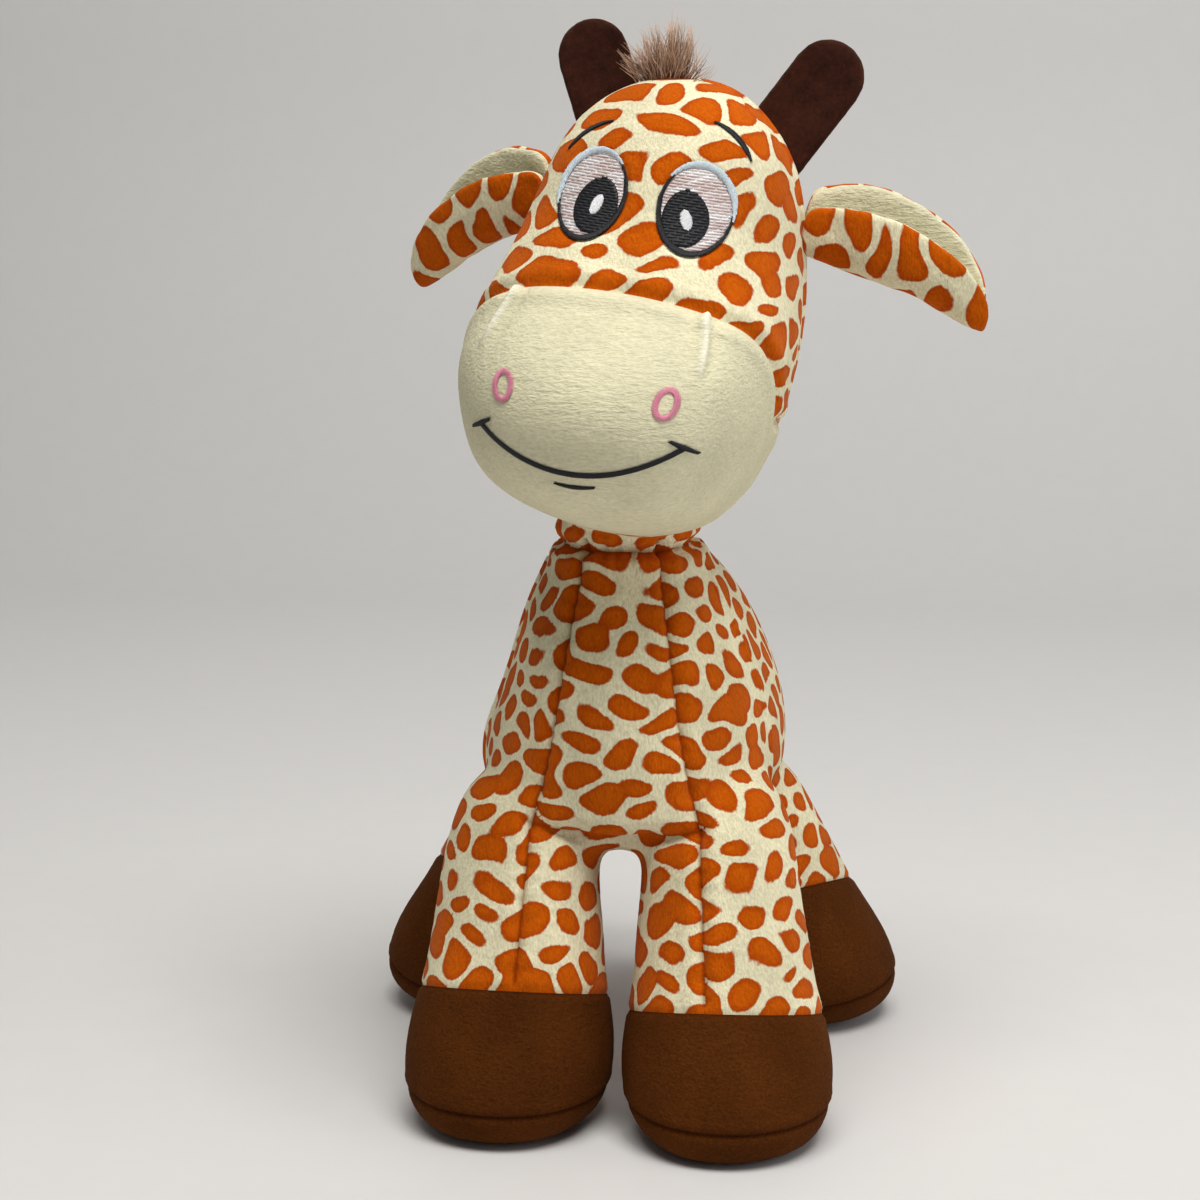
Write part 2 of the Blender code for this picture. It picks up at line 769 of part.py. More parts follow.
def band_points(line, width):
    """Closed outline of a stitched line with an even width, drawn both sides of its middle points."""
    one_side = []
    other_side = []
    for step, point in enumerate(line):
        before = Vector(line[max(step - 1, 0)])
        after = Vector(line[min(step + 1, len(line) - 1)])
        run = (after - before).normalized()
        out = Vector((-run.y, run.x)) * width / 2.0
        one_side.append(tuple(Vector(point) + out))
        other_side.append(tuple(Vector(point) - out))
    return one_side + other_side[::-1]


def sagging_line(half_width, drop):
    """Middle points of a line that sags evenly between its ends."""
    line = []
    for step in range(ARC_STEPS + 1):
        across = 2.0 * step / ARC_STEPS - 1.0
        line.append((half_width * across, -drop * (1.0 - across * across)))
    return line


def arc_line(radius, span):
    """Middle points of an arc that arches upwards over the origin."""
    line = []
    for step in range(ARC_STEPS + 1):
        angle = span * (step / ARC_STEPS - 0.5)
        line.append((radius * math.sin(angle), radius * (math.cos(angle) - 1.0)))
    return line


def thread_pad(name, outline, holes, across, height, lean, layer, material, nod):
    """A pad of stitches: the part of a grown head skin that lies inside an outline seen from the front."""
    bottom = SEAT_GAP + layer * (THREAD_THICKNESS + SEAT_GAP)
    inner = link_cutter(name + "_inner", head_form(name + "_inner", bottom), nod)
    smooth_shape(inner)
    pad = link_piece(name, head_form(name, bottom + THREAD_THICKNESS), material, nod)
    smooth_shape(pad)
    depth = MUZZLE_REACH + CUT_OVERRUN
    punch = link_cutter(name + "_punch", outline_mesh(name + "_punch", outline, depth / 2.0, holes), nod)
    place = Matrix.Translation((across, -depth / 2.0, height))
    punch.matrix_local = place @ Matrix.Rotation(lean, 4, "Y") @ facing_forward()
    boolean(pad, "INTERSECT", punch)
    boolean(pad, "DIFFERENCE", inner)
    return pad


def build_face(nod):
    """Eyes, brows, nostrils, mouth and lip line as pads of thread."""
    brow_shares = {"left": LEFT_BROW_HEIGHT_SHARE, "right": RIGHT_BROW_HEIGHT_SHARE}
    eye_leans = {"left": LEFT_EYE_LEAN, "right": RIGHT_EYE_LEAN}
    rise = math.tan(MUZZLE_ASKEW)
    for side, label in ((1.0, "left"), (-1.0, "right")):
        eye = ellipse_points(EYE_HALF_WIDTH, EYE_HALF_HEIGHT)
        lean = side * eye_leans[label]
        across = EYE_MIDDLE_X + side * EYE_X
        thread_pad(label + "_eye", eye, (), across, EYE_HEIGHT, lean, 0, "white_thread", nod)
        pupil = ellipse_points(PUPIL_HALF_WIDTH, PUPIL_HALF_HEIGHT)
        across -= side * PUPIL_IN
        height = EYE_HEIGHT - PUPIL_DOWN
        thread_pad(label + "_pupil", pupil, (), across, height, lean, 1, "black_thread", nod)
        brow = band_points(arc_line(BROW_RADIUS, BROW_SPAN), LINE_WIDTH)
        lean = side * BROW_LEAN
        across = EYE_MIDDLE_X + side * BROW_X
        height = brow_shares[label] * HEAD_HEIGHT
        thread_pad(label + "_brow", brow, (), across, height, lean, 0, "black_thread", nod)
        ring = ellipse_points(NOSTRIL_HALF_WIDTH, NOSTRIL_HALF_HEIGHT)
        hole = ellipse_points(NOSTRIL_HALF_WIDTH - NOSTRIL_LINE, NOSTRIL_HALF_HEIGHT - NOSTRIL_LINE)
        across = MUZZLE_MIDDLE_X + side * NOSTRIL_X
        height = NOSTRIL_HEIGHT - side * NOSTRIL_X * rise
        thread_pad(label + "_nostril", ring, (hole,), across, height, 0.0, 0, "pink_thread", nod)
    mouth = band_points(sagging_line(MOUTH_HALF_WIDTH, MOUTH_DROP), LINE_WIDTH)
    thread_pad("mouth", mouth, (), MUZZLE_MIDDLE_X, MOUTH_HEIGHT, MUZZLE_ASKEW, 0, "black_thread", nod)
    lip = band_points(sagging_line(LIP_HALF_WIDTH, LIP_DROP), LINE_WIDTH)
    drop = MOUTH_DROP + LIP_BELOW_MOUTH
    across = MUZZLE_MIDDLE_X - drop * rise
    thread_pad("lower_lip", lip, (), across, MOUTH_HEIGHT - drop, MUZZLE_ASKEW, 0, "black_thread", nod)


def ear_rows(side, roll):
    """Points of the folded leaf: a trough that opens upwards and droops towards its tip.

    The taller edge lies at the back on both sides, and the roll turns the opening to the front.
    """
    turn = Matrix.Rotation(side * roll, 3, "X")
    rows = []
    for place, thickness, depth in EAR_LEAF_SHARES:
        lowest = -EAR_DEPTH * depth / 2.0 - EAR_DROOP * place ** 3.0
        row = []
        for across, up in EAR_FOLD_SHARES:
            sideways = side * across * thickness * EAR_HALF_THICKNESS
            row.append(turn @ Vector((place * EAR_LENGTH, sideways, lowest + up * depth * EAR_DEPTH)))
        rows.append(row)
    return rows


def sheet_mesh(name, rows):
    """An open sheet through rows of points."""
    shape = bmesh.new()
    grid = [[shape.verts.new(point) for point in row] for row in rows]
    for low, high in zip(grid, grid[1:]):
        for step in range(len(low) - 1):
            shape.faces.new((low[step], low[step + 1], high[step + 1], high[step]))
    mesh = bpy.data.meshes.new(name)
    shape.to_mesh(mesh)
    shape.free()
    return mesh


def thicken(piece, thickness, offset):
    """Give an open sheet its thickness with Solidify, moved off the sheet by an offset."""
    modifier = piece.modifiers.new("thickness", "SOLIDIFY")
    modifier.thickness = thickness
    modifier.offset = 2.0 * offset / thickness
    return modifier


def build_ear(head, nod, label, side, sweep, fall, roll):
    """One folded ear with its cream lining, and the seat that its root cuts from the head."""
    direction = Vector((side, 0.0, 0.0))
    root, _ = surface_hit(head, (0.0, EAR_PLACE, EAR_HEIGHT), direction)
    root -= direction * EAR_SINK
    facing = 0.0 if side > 0.0 else math.pi
    turn = Matrix.Rotation(facing + side * sweep, 4, "Z")
    matrix = Matrix.Translation(root) @ turn @ Matrix.Rotation(fall, 4, "Y")
    flap = joint_empty(label + "_ear_flap", matrix, nod)
    ball = link_cutter(label + "_ear_ball", ball_mesh(label + "_ear_ball", EAR_BALL_RADIUS), flap)
    seat_mesh = ball_mesh(label + "_ear_seat", seat_radius(EAR_BALL_RADIUS))
    seat = link_cutter(label + "_ear_seat", seat_mesh, flap)

    rows = ear_rows(side, roll)
    ear = link_piece(label + "_ear", sheet_mesh(label + "_ear", rows), "spotted_plush", flap)
    smooth_shape(ear)
    thicken(ear, EAR_COVER, 0.0)
    boolean(ear, "UNION", ball)

    first, last = EAR_LINING_ROWS
    name = label + "_ear_lining"
    lining = link_piece(name, sheet_mesh(name, rows[first:last]), "cream_plush", flap)
    smooth_shape(lining)
    thicken(lining, EAR_LINING, -side * ((EAR_COVER + EAR_LINING) / 2.0 + SEAT_GAP))
    start, end = [share * EAR_LENGTH for share in EAR_LINING_SPAN_SHARES]
    slab_mesh = box_mesh(name + "_slab", (start, -EAR_LENGTH, -EAR_LENGTH), (end, EAR_LENGTH, EAR_LENGTH))
    boolean(lining, "INTERSECT", link_cutter(name + "_slab", slab_mesh, flap))
    return seat


def horn_outline(lean, root_slope, length):
    """Outline of the felt in its own plane: a slanted root, two straight sides and a round end."""
    axis = Vector((math.sin(lean), math.cos(lean)))
    right = Vector((math.cos(lean), -math.sin(lean)))
    root = Vector((math.cos(root_slope), math.sin(root_slope)))
    half = HORN_WIDTH / 2.0
    root_half = half / abs(root.dot(right))
    if root.dot(right) < 0.0:
        root = -root
    middle = axis * (length - half)
    points = [-root * root_half, root * root_half]
    for step in range(ARC_STEPS + 1):
        angle = math.pi * step / ARC_STEPS
        points.append(middle + right * half * math.cos(angle) + axis * half * math.sin(angle))
    return [tuple(point) for point in points], root, root_half


def build_horn(head, nod, label, side, root_angle, lean, length):
    """One felt horn, and the groove that its root bead cuts from the head."""
    start = Vector((0.0, HORN_PLACE, HORN_ROOT_HEIGHT))
    ray = Vector((side * math.sin(root_angle), 0.0, math.cos(root_angle)))
    root, normal = surface_hit(head, start, ray)
    root_slope = math.atan2(normal.z, normal.x) - math.pi / 2.0
    bend = joint_empty(label + "_horn_bend", Matrix.Translation(root), nod)
    points, line, root_half = horn_outline(lean, root_slope, length)
    name = label + "_horn"
    horn = link_piece(name, outline_mesh(name, points, FELT_THICKNESS / 2.0), "horn_felt", bend)
    horn.matrix_local = facing_forward()
    along = Vector((line.x, 0.0, line.y)).to_track_quat("Z", "Y").to_matrix().to_4x4()
    radius = HORN_BEAD_RADIUS
    bead_mesh = cone_mesh(name + "_bead", radius, radius, 2.0 * root_half, SMALL_BALL_SEGMENTS)
    bead = link_cutter(name + "_bead", bead_mesh, bend)
    bead.matrix_local = along
    boolean(horn, "UNION", bead)
    groove_length = 2.0 * (root_half + SEAT_GAP)
    radius = seat_radius(HORN_BEAD_RADIUS)
    groove_mesh = cone_mesh(name + "_groove", radius, radius, groove_length, SMALL_BALL_SEGMENTS)
    groove = link_cutter(name + "_groove", groove_mesh, bend)
    groove.matrix_local = along
    return groove


def build_forelock(head, nod):
    """A tuft of pile clumps fused to their backing, cut to sit on the crown."""
    start = (FORELOCK_X, FORELOCK_PLACE, EYE_HEIGHT)
    root, _ = surface_hit(head, start, (0.0, 0.0, 1.0))
    name = "forelock"
    radius = FORELOCK_BASE_RADIUS
    base = cone_mesh(name, radius, radius, 2.0 * FORELOCK_BASE_HEIGHT, SMALL_BALL_SEGMENTS)
    tuft = link_piece(name, base, "long_pile", nod)
    tuft.location = root
    for number, (sideways, forward, length_share, place) in enumerate(CLUMP_SHARES):
        length = FORELOCK_LENGTH * length_share
        clump_name = "%s_clump_%d" % (name, number)
        mesh = cone_mesh(clump_name, CLUMP_RADIUS, CLUMP_RADIUS * CLUMP_TIP_SHARE, length, CLUMP_SIDES)
        mesh.transform(Matrix.Translation((0.0, 0.0, length / 2.0)))
        clump = link_cutter(clump_name, mesh, nod)
        lean = Matrix.Rotation(math.radians(sideways), 4, "Y") @ Matrix.Rotation(math.radians(forward), 4, "X")
        clump.matrix_local = Matrix.Translation(root + Vector((place * FORELOCK_BASE_RADIUS, 0.0, 0.0))) @ lean
        boolean(tuft, "UNION", clump)
    room = smooth_shape(link_cutter(name + "_room", head_form(name + "_room", SEAT_GAP), nod))
    boolean(tuft, "DIFFERENCE", room)


def build_head(neck_seat, nod):
    """Head and muzzle, split along their seam, with everything that is sewn to them."""
    head = smooth_shape(link_piece("head", head_form("head"), "spotted_plush", nod))
    muzzle = smooth_shape(link_piece("muzzle", head_form("muzzle"), "cream_plush", nod))
    seats = [
        build_ear(head, nod, "left", 1.0, LEFT_EAR_SWEEP, LEFT_EAR_FALL, LEFT_EAR_ROLL),
        build_ear(head, nod, "right", -1.0, RIGHT_EAR_SWEEP, RIGHT_EAR_FALL, RIGHT_EAR_ROLL),
        build_horn(head, nod, "left", 1.0, LEFT_HORN_ROOT_ANGLE, LEFT_HORN_LEAN, LEFT_HORN_LENGTH),
        build_horn(head, nod, "right", -1.0, RIGHT_HORN_ROOT_ANGLE, RIGHT_HORN_LEAN, RIGHT_HORN_LENGTH),
    ]
    build_forelock(head, nod)
    build_face(nod)

    profile = [(reach * MUZZLE_REACH, height * HEAD_HEIGHT) for reach, height in MUZZLE_SEAM_SHARES]
    half_depth = HEAD_HALF_WIDTH + CUT_OVERRUN
    sideways = Matrix.Rotation(math.radians(-90.0), 4, "Z") @ facing_forward()
    part = link_cutter("muzzle_part", outline_mesh("muzzle_part", profile, half_depth), nod)
    part.matrix_local = sideways
    room = link_cutter("muzzle_room", outline_mesh("muzzle_room", profile, half_depth), nod)
    room.matrix_local = Matrix.Translation((0.0, SEAT_GAP, SEAT_GAP)) @ sideways
    boolean(muzzle, "INTERSECT", part)
    boolean(head, "DIFFERENCE", room)
    for piece in (head, muzzle):
        boolean(piece, "DIFFERENCE", neck_seat)
    for seat in seats:
        boolean(head, "DIFFERENCE", seat)


def centre_on_origin():
    """Move the toy so that the origin is the middle of the bottom of its bounding box."""
    graph = bpy.context.evaluated_depsgraph_get()
    points = []
    for piece in TOY.objects:
        if piece.type == "MESH":
            evaluated = piece.evaluated_get(graph)
            points.extend(evaluated.matrix_world @ vertex.co for vertex in evaluated.to_mesh().vertices)
    shift = Vector((0.0, 0.0, 0.0))
    for axis in (0, 1):
        places = [point[axis] for point in points]
        shift[axis] = -(min(places) + max(places)) / 2.0
    for item in (*TOY.objects, *CUTTERS.objects):
        if item.parent is None:
            item.location += shift


def build_toy():
    """Build every piece, the legs first because they cut the torso."""
    neck_seat, nod = build_neck()
    leg_cuts = []
    front_hip = (FRONT_HIP_X, FRONT_HIP_Y, FRONT_HIP_Z)
    rear_hip = (REAR_HIP_X, REAR_HIP_Y, REAR_HIP_Z)
    left_feet = ((LEFT_FRONT_FOOT_X, LEFT_FRONT_FOOT_Y), (LEFT_REAR_FOOT_X, LEFT_REAR_FOOT_Y))
    right_feet = ((RIGHT_FRONT_FOOT_X, RIGHT_FRONT_FOOT_Y), (RIGHT_REAR_FOOT_X, RIGHT_REAR_FOOT_Y))
    left_seams = (LEFT_FRONT_SEAM_Z, LEFT_REAR_SEAM_Z)
    right_seams = (RIGHT_FRONT_SEAM_Z, RIGHT_REAR_SEAM_Z)
    sides = (("left", 1.0, left_feet, left_seams), ("right", -1.0, right_feet, right_seams))
    for label, side, feet, seams in sides:
        front_seam = (seams[0], FRONT_SEAM_TILT)
        rear_seam = (seams[1], REAR_SEAM_TILT)
        front = (front_hip, feet[0], FRONT_TOE_OUT, FRONT_TILT_SHARE, front_seam)
        rear = (rear_hip, feet[1], REAR_TOE_OUT, REAR_TILT_SHARE, rear_seam)
        leg_cuts.append(build_leg("front_%s_leg" % label, *front, side))
        leg_cuts.append(build_leg("rear_%s_leg" % label, *rear, side))
    build_torso(neck_seat, leg_cuts)
    build_head(neck_seat, nod)
    centre_on_origin()


build_toy()
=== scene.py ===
# %% [markdown]
# # A plush giraffe, stitched and stuffed
#
# The toy in the photograph is sewn from short pile plush and filled with fibre. This lesson builds its
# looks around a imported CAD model: one smooth stuffed skin, cut along its real seams, a printed pattern
# that breaks off at each seam, and embroidery that is made stitch by stitch.

# %% Load the frame
import json
import math
import random

import bmesh
import bpy
import numpy as np
from mathutils import Matrix, Vector, noise
from mathutils.bvhtree import BVHTree
from mathutils.kdtree import KDTree


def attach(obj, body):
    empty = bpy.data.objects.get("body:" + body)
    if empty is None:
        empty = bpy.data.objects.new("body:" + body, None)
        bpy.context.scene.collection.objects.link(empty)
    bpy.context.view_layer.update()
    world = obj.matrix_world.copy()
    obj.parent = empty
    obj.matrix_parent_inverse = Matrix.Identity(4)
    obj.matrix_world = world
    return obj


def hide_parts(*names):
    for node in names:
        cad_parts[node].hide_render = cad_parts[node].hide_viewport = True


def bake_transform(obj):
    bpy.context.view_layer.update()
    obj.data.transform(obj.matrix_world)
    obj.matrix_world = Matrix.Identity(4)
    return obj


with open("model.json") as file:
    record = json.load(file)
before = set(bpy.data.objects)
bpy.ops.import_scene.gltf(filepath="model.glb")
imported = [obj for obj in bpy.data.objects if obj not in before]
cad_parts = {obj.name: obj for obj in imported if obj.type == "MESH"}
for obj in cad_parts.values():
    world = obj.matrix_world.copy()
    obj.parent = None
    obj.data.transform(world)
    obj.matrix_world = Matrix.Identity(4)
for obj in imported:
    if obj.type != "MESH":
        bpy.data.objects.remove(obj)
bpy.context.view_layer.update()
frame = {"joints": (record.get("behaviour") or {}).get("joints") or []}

JOINTS = {joint["name"]: joint for joint in frame["joints"]}
NECK = Vector(JOINTS["neck_turn"]["pos_m"])
MIDLINE = Vector((NECK.x, NECK.y, 0.0))
print("the toy's own middle line stands at", tuple(round(value, 4) for value in MIDLINE))

# %% [markdown]
# ## Where the camera stands
#
# The photograph was taken from a little above the toy's head height and slightly to its left, with a long
# lens, so the legs look only a little smaller than the head. The camera gets that place first, because every
# later choice is compared through it.

# %% Camera
PHOTO_PIXELS = 1200.0
FOCAL_PIXELS = 2450.0
CAMERA_DISTANCE = 0.700
CAMERA_HEIGHT = 0.275
CAMERA_AZIMUTH = math.radians(6.0)
CAMERA_PITCH = math.radians(10.45)
CAMERA_SIDESTEP = -0.008
SENSOR_WIDTH = 36.0


def build_camera():
    """A camera at the photograph's place, in the toy's frame."""
    data = bpy.data.cameras.new("photo_camera")
    camera = bpy.data.objects.new("photo_camera", data)
    bpy.context.scene.collection.objects.link(camera)
    data.sensor_width = SENSOR_WIDTH
    data.lens = SENSOR_WIDTH * FOCAL_PIXELS / PHOTO_PIXELS
    data.clip_start = 0.01
    data.clip_end = 20.0
    back = Vector((math.sin(CAMERA_AZIMUTH), -math.cos(CAMERA_AZIMUTH), 0.0))
    right = Vector((math.cos(CAMERA_AZIMUTH), math.sin(CAMERA_AZIMUTH), 0.0))
    lift = Vector((0.0, 0.0, CAMERA_HEIGHT))
    camera.location = MIDLINE + back * CAMERA_DISTANCE + lift + right * CAMERA_SIDESTEP
    camera.rotation_euler = (math.radians(90.0) - CAMERA_PITCH, 0.0, CAMERA_AZIMUTH)
    bpy.context.scene.camera = camera
    return camera


CAMERA = build_camera()
print("lens", round(CAMERA.data.lens, 1), "mm")

# %% [markdown]
# ## Small helpers for cloth shapes
#
# A stuffed panel swells and tapers, so each form is a stack of egg shaped rings, skinned into a cage and
# rounded with Subdivision Surface.

# %% Rings, lofts and rounding
ROUND_LEVELS = 3


def signed_power(value, power):
    """A power that keeps its sign, for superellipse outlines."""
    return math.copysign(abs(value) ** power, value)


def egg_ring(height, front, back, widest, half_width, squareness, count):
    """A level closed outline, wider at one place than at its ends."""
    outset = 1.0 / math.cos(math.pi / count)
    power = 2.0 / squareness
    ring = []
    for step in range(count):
        angle = 2.0 * math.pi * step / count
        across = signed_power(math.sin(angle), power) * half_width * outset
        along = signed_power(math.cos(angle), power) * outset
        reach = back - widest if along > 0.0 else front + widest
        ring.append(Vector((across, widest + along * reach, height)))
    return ring


def new_object(name, mesh):
    """Link a mesh to the scene under a name."""
    piece = bpy.data.objects.new(name, mesh)
    bpy.context.scene.collection.objects.link(piece)
    return piece


def mesh_from(name, points, faces):
    """A mesh from plain lists."""
    mesh = bpy.data.meshes.new(name)
    mesh.from_pydata([tuple(point) for point in points], [], faces)
    mesh.update()
    return mesh


def loft(rings):
    """Points and faces of a skin over rings, closed at both ends."""
    count = len(rings[0])
    points = [point for ring in rings for point in ring]
    faces = [tuple(range(count))[::-1]]
    for row in range(len(rings) - 1):
        for step in range(count):
            following = (step + 1) % count
            low, high = row * count, (row + 1) * count
            faces.append((low + step, low + following, high + following, high + step))
    last = (len(rings) - 1) * count
    faces.append(tuple(range(last, last + count)))
    return points, faces


def finished_mesh(piece, name):
    """A piece's mesh with its modifiers applied."""
    graph = bpy.context.evaluated_depsgraph_get()
    return bpy.data.meshes.new_from_object(piece.evaluated_get(graph)).copy()


def rounded(name, points, faces, matrix=None, levels=ROUND_LEVELS):
    """A cage rounded by subdivision, as an object in place."""
    piece = new_object(name, mesh_from(name, points, faces))
    shape = bmesh.new()
    shape.from_mesh(piece.data)
    bmesh.ops.recalc_face_normals(shape, faces=shape.faces)
    shape.to_mesh(piece.data)
    shape.free()
    if matrix is not None:
        piece.data.transform(matrix)
    modifier = piece.modifiers.new("round", "SUBSURF")
    modifier.levels = levels
    modifier.render_levels = levels
    mesh = finished_mesh(piece, name)
    bpy.data.objects.remove(piece)
    return new_object(name, mesh)


print("helpers ready, cages are rounded", ROUND_LEVELS, "times")

# %% [markdown]
# ## The stuffed torso
#
# From the side the torso is a wedge: a narrow pinched neck at the top, a straight sloping back and a round
# rump that overhangs the rear legs. Ten rings describe it.

# %% Torso form
BELLY_Z = 0.075
CHEST_REACH = 0.042
RUMP_REACH = 0.086
TORSO_HALF_WIDTH = 0.048
TORSO_SQUARENESS = 2.4

# Height up the torso, chest reach, rump reach, place of the widest line, half width
TORSO_RING_SHARES = (
    (0.000, 0.45, 0.62, 0.40, 0.50),
    (0.057, 0.80, 0.88, 0.40, 0.80),
    (0.170, 0.97, 0.98, 0.40, 0.96),
    (0.318, 1.00, 0.98, 0.40, 0.97),
    (0.466, 0.94, 0.91, 0.39, 0.90),
    (0.614, 0.83, 0.79, 0.38, 0.79),
    (0.750, 0.71, 0.62, 0.34, 0.66),
    (0.875, 0.58, 0.40, 0.16, 0.51),
    (0.950, 0.48, 0.24, 0.02, 0.41),
    (1.000, 0.36, 0.16, 0.00, 0.30),
)


def torso_rings():
    """The rings of the torso, in the toy's own frame."""
    rings = []
    for height, front, back, widest, width in TORSO_RING_SHARES:
        level = BELLY_Z + height * (NECK.z - BELLY_Z)
        reaches = (front * CHEST_REACH, back * RUMP_REACH, widest * RUMP_REACH)
        rings.append(egg_ring(level, *reaches, width * TORSO_HALF_WIDTH, TORSO_SQUARENESS, 16))
    return rings


TO_WORLD = Matrix.Translation(MIDLINE)
torso_form = rounded("torso_form", *loft(torso_rings()), TO_WORLD)
print("torso form", len(torso_form.data.polygons), "faces")

# %% [markdown]
# ## The head, turned and tilted
#
# The head is one bag: a high round crown, a big muzzle that pushes forward and a chin that tucks in over the
# neck. It is modelled straight, then turned a little to the toy's right and tilted, as the photograph shows.

# %% Head form
HEAD_HEIGHT = 0.127
MUZZLE_REACH = 0.0755
HEAD_BACK_REACH = 0.047
HEAD_HALF_WIDTH = 0.0465
HEAD_SQUARENESS = 2.35
HEAD_TURN = math.radians(-8.0)
HEAD_TILT = math.radians(8.0)
HEAD_POSE = (
    Matrix.Translation(NECK) @ Matrix.Rotation(HEAD_TURN, 4, "Z") @ Matrix.Rotation(HEAD_TILT, 4, "Y")
)

# Height up the head, muzzle reach, back reach, place of the widest line, half width
HEAD_RING_SHARES = (
    (-0.002, 0.22, 0.24, 0.00, 0.20),
    (0.020, 0.42, 0.44, 0.04, 0.40),
    (0.064, 0.67, 0.69, 0.16, 0.63),
    (0.125, 0.87, 0.85, 0.26, 0.83),
    (0.225, 0.98, 0.94, 0.30, 0.94),
    (0.325, 1.00, 0.99, 0.30, 1.00),
    (0.420, 0.925, 1.00, 0.27, 0.99),
    (0.516, 0.78, 1.00, 0.20, 0.93),
    (0.611, 0.62, 0.98, 0.10, 0.86),
    (0.714, 0.515, 0.915, 0.02, 0.81),
    (0.817, 0.45, 0.81, 0.00, 0.735),
    (0.913, 0.345, 0.64, 0.00, 0.585),
    (0.976, 0.21, 0.42, 0.00, 0.37),
    (1.000, 0.08, 0.16, 0.00, 0.14),
)


def head_rings():
    """The rings of the head, in its own frame with the neck at the origin."""
    rings = []
    for height, front, back, widest, width in HEAD_RING_SHARES:
        reaches = (front * MUZZLE_REACH, back * HEAD_BACK_REACH, -widest * MUZZLE_REACH)
        half_width = width * HEAD_HALF_WIDTH
        rings.append(egg_ring(height * HEAD_HEIGHT, *reaches, half_width, HEAD_SQUARENESS, 16))
    return rings


head_form = rounded("head_form", *loft(head_rings()), HEAD_POSE)
print("head form", len(head_form.data.polygons), "faces")

# %% [markdown]
# ## The neck, a short stuffed ball
#
# Under the chin shows only a short band of plush. A ball between torso and head gives it, and the crease
# where the torso's neck seam pulls in appears by itself where ball and torso meet.

# %% Neck form
NECK_RADIUS = 0.0202


def ball_object(name, radius, centre):
    """A smooth ball."""
    shape = bmesh.new()
    bmesh.ops.create_uvsphere(shape, u_segments=64, v_segments=40, radius=radius)
    mesh = bpy.data.meshes.new(name)
    shape.to_mesh(mesh)
    shape.free()
    mesh.transform(Matrix.Translation(centre))
    return new_object(name, mesh)


neck_form = ball_object("neck_form", NECK_RADIUS, NECK)
print("neck ball", round(NECK_RADIUS * 2000.0, 1), "mm across")

# %% [markdown]
# ## Four legs that flare into hooves
#
# A leg is a soft tube that widens towards its hoof. The front legs lean forward and the rear legs splay
# outwards. The seam over each hoof is a plane whose front edge is raised, which is why it looks
# straight from the front. The frame gives the hips, and the feet stand where the solids stand.

# %% Leg forms
HOOF_HALF_WIDTH = 0.0300
HOOF_FRONT_REACH = 0.0315
HOOF_BACK_REACH = 0.0270
HOOF_HEIGHT = 0.0430
SOLE_HEIGHT = 0.0116
SOLE_FLAT_DEPTH = 0.0005
LEG_SQUARENESS = 2.1
FRONT_TOE_OUT = math.radians(3.0)
REAR_TOE_OUT = math.radians(24.0)
REAR_TILT_SHARE = 0.35
FRONT_SEAM_TILT = math.radians(18.0)
REAR_SEAM_TILT = math.radians(24.0)

# Side, place of the front and the rear foot, height of the seam over the front and the rear hoof
SIDES = {
    "left": (1.0, (0.0333, -0.0418), (0.0558, 0.0705), 0.0342, 0.0410),
    "right": (-1.0, (0.0318, -0.0350), (0.0605, 0.0700), 0.0370, 0.0450),
}

# Place down the sleeve, then width and reach
SLEEVE_RING_SHARES = ((-0.42, 0.56, 0.54), (0.00, 0.74, 0.72), (0.36, 0.770, 0.75), (0.72, 0.825, 0.80))

# Place down the hoof, then width and reach
HOOF_RING_SHARES = (
    (0.00, 0.870, 0.86),
    (0.28, 0.965, 0.965),
    (0.55, 1.02, 1.02),
    (0.76, 0.98, 0.98),
    (0.92, 0.85, 0.85),
    (1.00, 0.62, 0.62),
)


